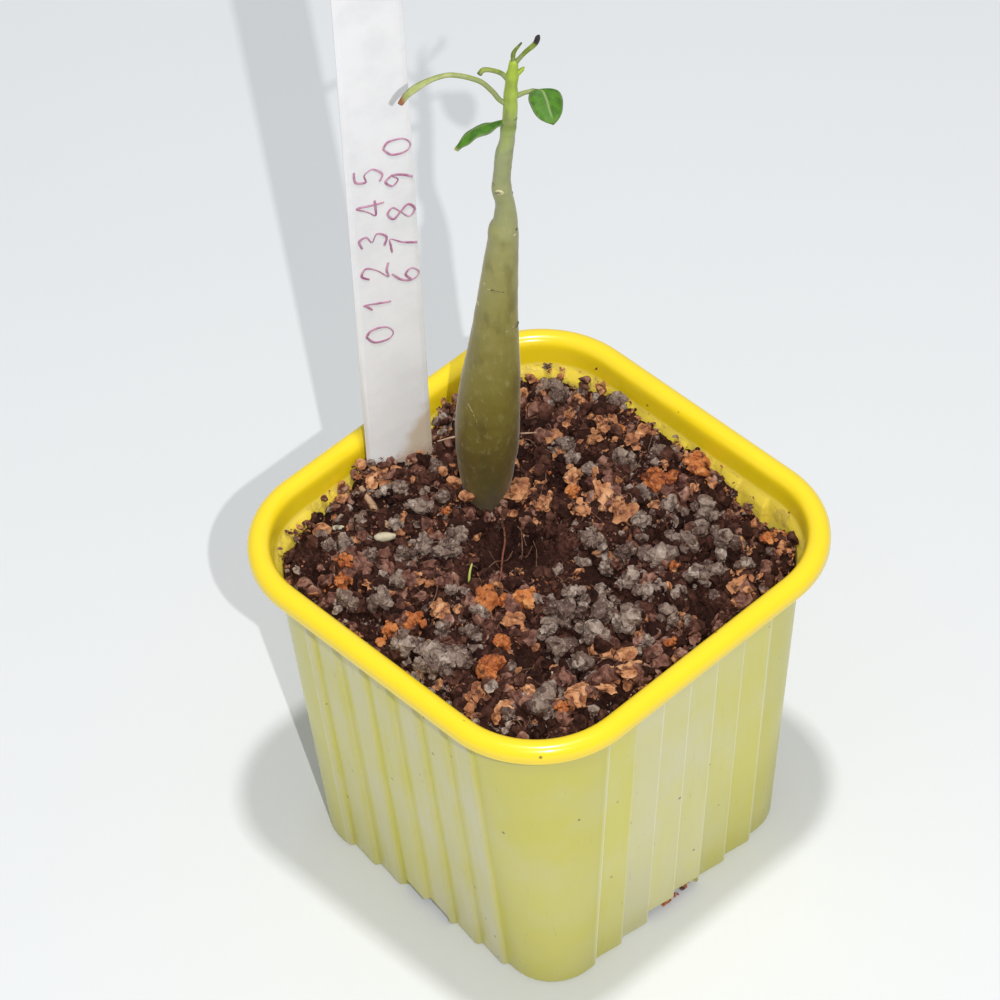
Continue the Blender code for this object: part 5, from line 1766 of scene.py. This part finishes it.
class DESERTROSE_OT_soil(bpy.types.Operator):
    """Build the soil's ground and scatter its crumbs, grit, bark, clumps and fibres"""

    bl_idname = "desert_rose.soil"
    bl_label = "Soil"

    def execute(self, context):
        settings = context.scene.desert_rose_soil
        rng = random.Random(settings.seed)
        ground = add_object("soil_ground", ground_mesh(settings), peat_finish("peat", settings, False))
        finishes = {
            "dark": peat_finish("peat_crumbs", settings, True), "brown": grain_finish("brown_peat"),
            "grey": grain_finish("grey_grit"), "bark": grain_finish("bark"), "rust": grain_finish("rust"),
        }
        self.add_loose(settings, rng, ground, finishes)
        graph = context.evaluated_depsgraph_get()
        tree = BVHTree.FromObject(ground, graph)
        pot = BVHTree.FromObject(bpy.data.objects["pot_shell"], graph)
        self.add_large(settings, rng, tree, finishes)
        self.add_piles(settings, rng, tree, pot, finishes)
        self.add_fibres(rng, tree)
        self.add_odd(settings, rng, tree)
        keep(ground, "soil_mix", "soil")
        return {"FINISHED"}

    def add_loose(self, settings, rng, ground, finishes):
        """Loose grains all over, from dark crumbs to grey grit, bark and rusty bits."""
        sets = {
            "crumb": shape_set("crumb_shapes", rock_shapes(rng, 10, 8)),
            "lump": shape_set("lump_shapes", lump_shapes(rng, 10, 0.85, 0.5)),
            "chip": shape_set("chip_shapes", lump_shapes(rng, 8, 0.38, 0.5)),
        }
        for index, row in enumerate(LOOSE_GRAINS):
            name, shapes, finish, source, factor, smallest, largest, tilt, share, patch, level = row
            item = scatter(
                name, ground, shapes=sets[shapes], material=finishes[finish], seed=settings.seed + index,
                density=getattr(settings, source) * factor, smallest=smallest, largest=largest, tilt=tilt,
                share=share, patch_size=patch * MM, patch_level=level)
            keep(item, "soil_mix")
        for collection in sets.values():
            drop_set(collection)

    def add_large(self, settings, rng, tree, finishes):
        """The larger flakes and clumps, each in its own place."""
        flakes = clump_shapes(rng, 4, 9, 11, 0.45, 0.58) + lump_shapes(rng, 6, 0.35, 0.62)
        kinds = (
            ("bark_flakes", flakes, BARK_FLAKES, "bark", 1.0, 0.14, 0.35),
            ("rust_clumps", clump_shapes(rng, 6, 20, 0, 0.8, 0.42), RUST_CLUMPS, "rust", 1.15, 0.12, 0.4),
            ("grey_clumps", clump_shapes(rng, 8, 12, 0, 0.9, 0.56), GREY_CLUMPS, "grey", 1.1, 0.12, 0.5),
        )
        for name, shapes, table, finish, growth, lift, tilt in kinds:
            collection = shape_set(name + "_shapes", shapes)
            places = set_out(tree, table, rng, growth, lift, tilt)
            keep(spread(name, places, collection, finishes[finish], settings.seed), "soil_mix")
            drop_set(collection)

    def add_piles(self, settings, rng, tree, pot, finishes):
        """A ragged border on the ledge, crumbs beyond it, and piles round the feet of label and trunk."""
        lumps = {kind: [] for kind in finishes}
        for _ in range(settings.border_lumps):
            way = flat_way(rng.uniform(0.0, math.tau))
            mass = max(noise.noise(way * 4.5 + UP * 4.0), 0.0)
            edge = outline_reach(way, SOIL_HALF, SOIL_CORNER) + (rng.gauss(-0.9, 0.7) + 2.6 * mass) * MM
            spot = way * min(edge, outline_reach(way, LEDGE_HALF, LEDGE_CORNER))
            size = rng.uniform(0.9, 2.1)
            lift = (0.25 * size + rng.uniform(0.0, 2.6) * mass) * MM
            kind = rng.choice(("dark", "dark", "brown", "brown", "bark", "grey"))
            spot = hold_in(on_top((tree, pot), spot.x, spot.y, lift), size)
            lumps[kind].append((spot, size, any_turn(rng, 1.0)))
        crumbs = []
        for _ in range(settings.ledge_crumbs):
            way = flat_way(rng.uniform(0.0, math.tau))
            spot = way * (outline_reach(way, LEDGE_HALF, LEDGE_CORNER) - abs(rng.gauss(0.0, 1.0)) * MM)
            size = rng.uniform(0.35, 0.9)
            spot = hold_in(on_top((tree, pot), spot.x, spot.y, 0.25 * size * MM), size)
            crumbs.append((spot, size, any_turn(rng, 3.1)))
        for x, y, top, size in PILES:
            spot = on_top((tree, pot), x * MM, y * MM, 0.2 * size * MM)
            while True:
                kind = rng.choice(("dark", "brown", "brown", "bark", "bark", "grey"))
                shift = Vector((rng.uniform(-0.5, 0.5), rng.uniform(-0.5, 0.5), 0.0)) * MM
                grown = size * rng.uniform(0.8, 1.15)
                lumps[kind].append((hold_in(spot + shift, grown), grown, any_turn(rng, 0.9)))
                spot = spot + UP * size * 0.45 * MM
                if spot.z > top * MM:
                    break
        for x, y, z, size, kind in PEBBLES:
            lumps[kind].append((Vector((x, y, z)) * MM, size, any_turn(rng, 0.5)))
        rough = shape_set("pile_shapes", clump_shapes(rng, 6, 9, 9, 0.8, 0.5) + lump_shapes(rng, 6, 0.7, 0.5))
        for kind, places in lumps.items():
            keep(spread(kind + "_piles", places, rough, finishes[kind], settings.seed + 1), "soil_mix")
        drop_set(rough)
        small = shape_set("ledge_shapes", rock_shapes(rng, 6, 9))
        keep(spread("ledge_crumbs", crumbs, small, finishes["bark"], settings.seed), "soil_mix")
        drop_set(small)

    def add_fibres(self, rng, tree):
        """Fine roots and fibres on the ground."""
        paths = []
        for _ in range(FIBRES):
            x, y = rng.uniform(-FIBRE_FIELD, FIBRE_FIELD) * MM, rng.uniform(-FIBRE_FIELD, FIBRE_FIELD) * MM
            heading = rng.uniform(0.0, math.tau)
            length = rng.uniform(1.5, 6.0) * MM
            bend = rng.uniform(-0.5, 0.5)
            points = []
            for _ in range(FIBRE_CORNERS):
                heading += bend * 0.5
                points.append(hold_in(on_top((tree,), x, y, rng.uniform(0.4, 1.5) * MM), 1.5))
                x += math.cos(heading) * length / (FIBRE_CORNERS - 1)
                y += math.sin(heading) * length / (FIBRE_CORNERS - 1)
            radius = rng.uniform(0.05, 0.11) * MM
            paths.append([(point, radius) for point in smooth_route(points, 11)])
        keep(sweep("soil_fibres", paths, grain_finish("fibres"), 5), "soil_mix")

    def add_odd(self, settings, rng, tree):
        """A tiny sprout, a long sliver, a thin root and a few pale grains."""
        foot = on_top((tree,), SPROUT[0] * MM, SPROUT[1] * MM, 0.0)
        finish = Finish("sprout", specular_ior_level=0.4)
        tone = finish.noise(finish.place, 1.0 * MM)
        finish.colour = finish.mix(tone, SPROUT_DEEP, SPROUT_PALE)
        route = smooth_route([foot + Vector(point) * MM for point in SPROUT_RISE], 9)
        path = [(point, (0.3 - 0.02 * k) * MM) for k, point in enumerate(route)]
        keep(sweep("sprout", [path], finish.paint(0.5), 8), "soil_mix")
        places = []
        for x, y, size, heading in PALE_GRAINS:
            places.append((on_top((tree,), x * MM, y * MM, 0.3 * size * MM), size, (0.15, 0.0, heading)))
        grains = shape_set("grain_shapes", [long_grain(rng, 0.42) for _ in range(3)])
        pale = spread("pale_grains", places, grains, grain_finish("pale_grains"), settings.seed, True)
        keep(pale, "soil_mix")
        drop_set(grains)
        route = smooth_route([on_top((tree,), x * MM, y * MM, 0.9 * MM) for x, y in SLIVER], 10)
        path = [(point, (0.35 + 0.3 * math.sin(0.3 + k * 0.28)) * MM) for k, point in enumerate(route)]
        keep(sweep("sliver", [path], grain_finish("sliver"), 7, 1.2 * MM, 0.3 * MM), "soil_mix")
        route = smooth_route([Vector(point) * MM for point in STRAND], 14)
        path = [(point, 0.17 * MM) for point in route]
        keep(sweep("strand", [path], grain_finish("strand"), 7, 1.5 * MM, 0.1 * MM), "soil_mix")


class DESERTROSE_OT_trunk(bpy.types.Operator):
    """Sweep the swollen trunk and set its leaf scars, marks, bud and fine roots"""

    bl_idname = "desert_rose.trunk"
    bl_label = "Trunk"

    def execute(self, context):
        settings = context.scene.desert_rose_plant
        low, high = TRUNK[0][0], TRUNK[-1][0]
        path = []
        for step in range(TRUNK_STEPS + 1):
            height = low + (high - low) * step / TRUNK_STEPS
            path.append((trunk_point(height), smooth_between(TRUNK, height, 2) * MM))
        tip, radius = path[-1]
        path += [(tip + UP * 0.3 * MM, radius * 0.8), (tip + UP * 0.5 * MM, radius * 0.4)]
        trunk = sweep("trunk_skin", [path], skin_finish(settings), TRUNK_SIDES, 3.0 * MM, 0.3 * MM)
        keep(trunk, "stem_skin", "caudex_stem")
        bud = [(trunk_point(height) + LEAN * out * MM, radius * MM) for height, out, radius in BUD]
        keep(sweep("bud", [bud], skin_finish(settings), 12), "stem_skin")
        rng = random.Random(SCAR_SEED)
        self.add_scars(rng)
        self.add_marks(rng)
        self.add_roots()
        return {"FINISHED"}

    def add_scars(self, rng):
        """Leaf scars in their places."""
        kinds = {"dark": [], "pale": []}
        for height, azimuth, width, rise, shade in SCARS:
            point, out = on_trunk(height, azimuth)
            turn = out.to_track_quat("Z", "Y").to_euler()
            kinds["pale" if shade >= 0.5 else "dark"].append((point - out * 0.12 * MM, width * rise, turn))
        shapes = shape_set("scar_shapes", scar_shapes(rng))
        for kind, places in kinds.items():
            scars = spread("scars_" + kind, places, shapes, grain_finish("scar_" + kind), 3, True)
            keep(scars, "stem_skin")
        drop_set(shapes)

    def add_marks(self, rng):
        """Pale marks along the skin."""
        paths = []
        for places, half in MARKS:
            route = [on_trunk(height, azimuth) for height, azimuth in places]
            points = smooth_route([point for point, _ in route], MARK_STEPS)
            outs = smooth_route([out for _, out in route], MARK_STEPS)
            path = []
            for k, (point, out) in enumerate(zip(points, outs)):
                swell = 0.55 + 0.45 * math.sin(math.pi * k / (MARK_STEPS - 1))
                radius = half * swell * (1.0 + 0.3 * rng.uniform(-1.0, 1.0))
                path.append((point + out * (MARK_LIFT - radius * 0.88 * MM), radius * MM))
            paths.append(path)
        keep(sweep("skin_marks", paths, grain_finish("skin_marks"), 8, 0.8 * MM, 0.1 * MM), "stem_skin")

    def add_roots(self):
        """A fine root on each side of the trunk's foot."""
        middle = trunk_point(ROOTS_HEIGHT)
        toward = Vector((LEAN.y, -LEAN.x, 0.0))
        paths = []
        for corners in ROOTS:
            points = []
            for along, up, aside in corners:
                points.append(middle + LEAN * along * MM + UP * up * MM + toward * aside * MM)
            route = smooth_route(points, ROOT_STEPS)
            last = ROOT_STEPS - 1
            paths.append([(point, ROOT_RADIUS * (1.0 - 0.6 * k / last)) for k, point in enumerate(route)])
        keep(sweep("fine_roots", paths, grain_finish("fine_roots"), 7, 1.0 * MM, 0.1 * MM), "stem_skin")


class DESERTROSE_OT_leaves(bpy.types.Operator):
    """Build the leaves and the shoot tips"""

    bl_idname = "desert_rose.leaves"
    bl_label = "Leaves"

    def execute(self, context):
        settings = context.scene.desert_rose_plant
        for name in LEAVES:
            material = leaf_finish(name, settings, LEAVES[name][5], LEAF_KINDS.get(name, "shoot"))
            keep(add_object(name + "_blade", leaf_mesh(name), material), "leaf_green", name)
        return {"FINISHED"}


class DESERTROSE_OT_label(bpy.types.Operator):
    """Build the plant label with plain figures on it"""

    bl_idname = "desert_rose.label"
    bl_label = "Label"

    def execute(self, context):
        settings = context.scene.desert_rose_label
        label = add_object("label_strip", mesh_of(label_body(), "label_strip"), label_finish(settings))
        keep(label, "label_plastic", "plant_label")
        keep(sweep("pen_figures", figure_paths(), pen_finish(settings), 6), "label_plastic")
        return {"FINISHED"}


class DESERTROSE_PT_panel(bpy.types.Panel):
    bl_label = "Potted desert rose"
    bl_idname = "DESERTROSE_PT_panel"
    bl_space_type = "VIEW_3D"
    bl_region_type = "UI"
    bl_category = "Desert rose"

    def draw(self, context):
        for title, group, operators in PANEL:
            box = self.layout.box()
            box.label(text=title)
            settings = getattr(context.scene, group)
            for name in settings.bl_rna.properties.keys():
                if name not in ("name", "rna_type"):
                    box.prop(settings, name)
            for operator in operators:
                box.operator(operator)


PANEL = (
    ("Stage", "desert_rose_stage", ("desert_rose.stage",)),
    ("Pot", "desert_rose_pot", ("desert_rose.pot",)),
    ("Soil", "desert_rose_soil", ("desert_rose.soil",)),
    ("Plant", "desert_rose_plant", ("desert_rose.trunk", "desert_rose.leaves")),
    ("Label", "desert_rose_label", ("desert_rose.label",)),
)
GROUPS = {
    "desert_rose_stage": StageSettings,
    "desert_rose_pot": PotSettings,
    "desert_rose_soil": SoilSettings,
    "desert_rose_plant": PlantSettings,
    "desert_rose_label": LabelSettings,
}
CLASSES = (
    *GROUPS.values(), DESERTROSE_OT_stage, DESERTROSE_OT_pot, DESERTROSE_OT_soil, DESERTROSE_OT_trunk,
    DESERTROSE_OT_leaves, DESERTROSE_OT_label, DESERTROSE_PT_panel,
)


def register():
    for item in CLASSES:
        bpy.utils.register_class(item)
    for name, group in GROUPS.items():
        setattr(bpy.types.Scene, name, PointerProperty(type=group))


def unregister():
    for name in GROUPS:
        delattr(bpy.types.Scene, name)
    for item in reversed(CLASSES):
        bpy.utils.unregister_class(item)


def main():
    register()
    bpy.ops.desert_rose.stage()
    bpy.ops.desert_rose.pot()
    bpy.ops.desert_rose.soil()
    bpy.ops.desert_rose.trunk()
    bpy.ops.desert_rose.leaves()
    bpy.ops.desert_rose.label()


if __name__ == "__main__":
    main()
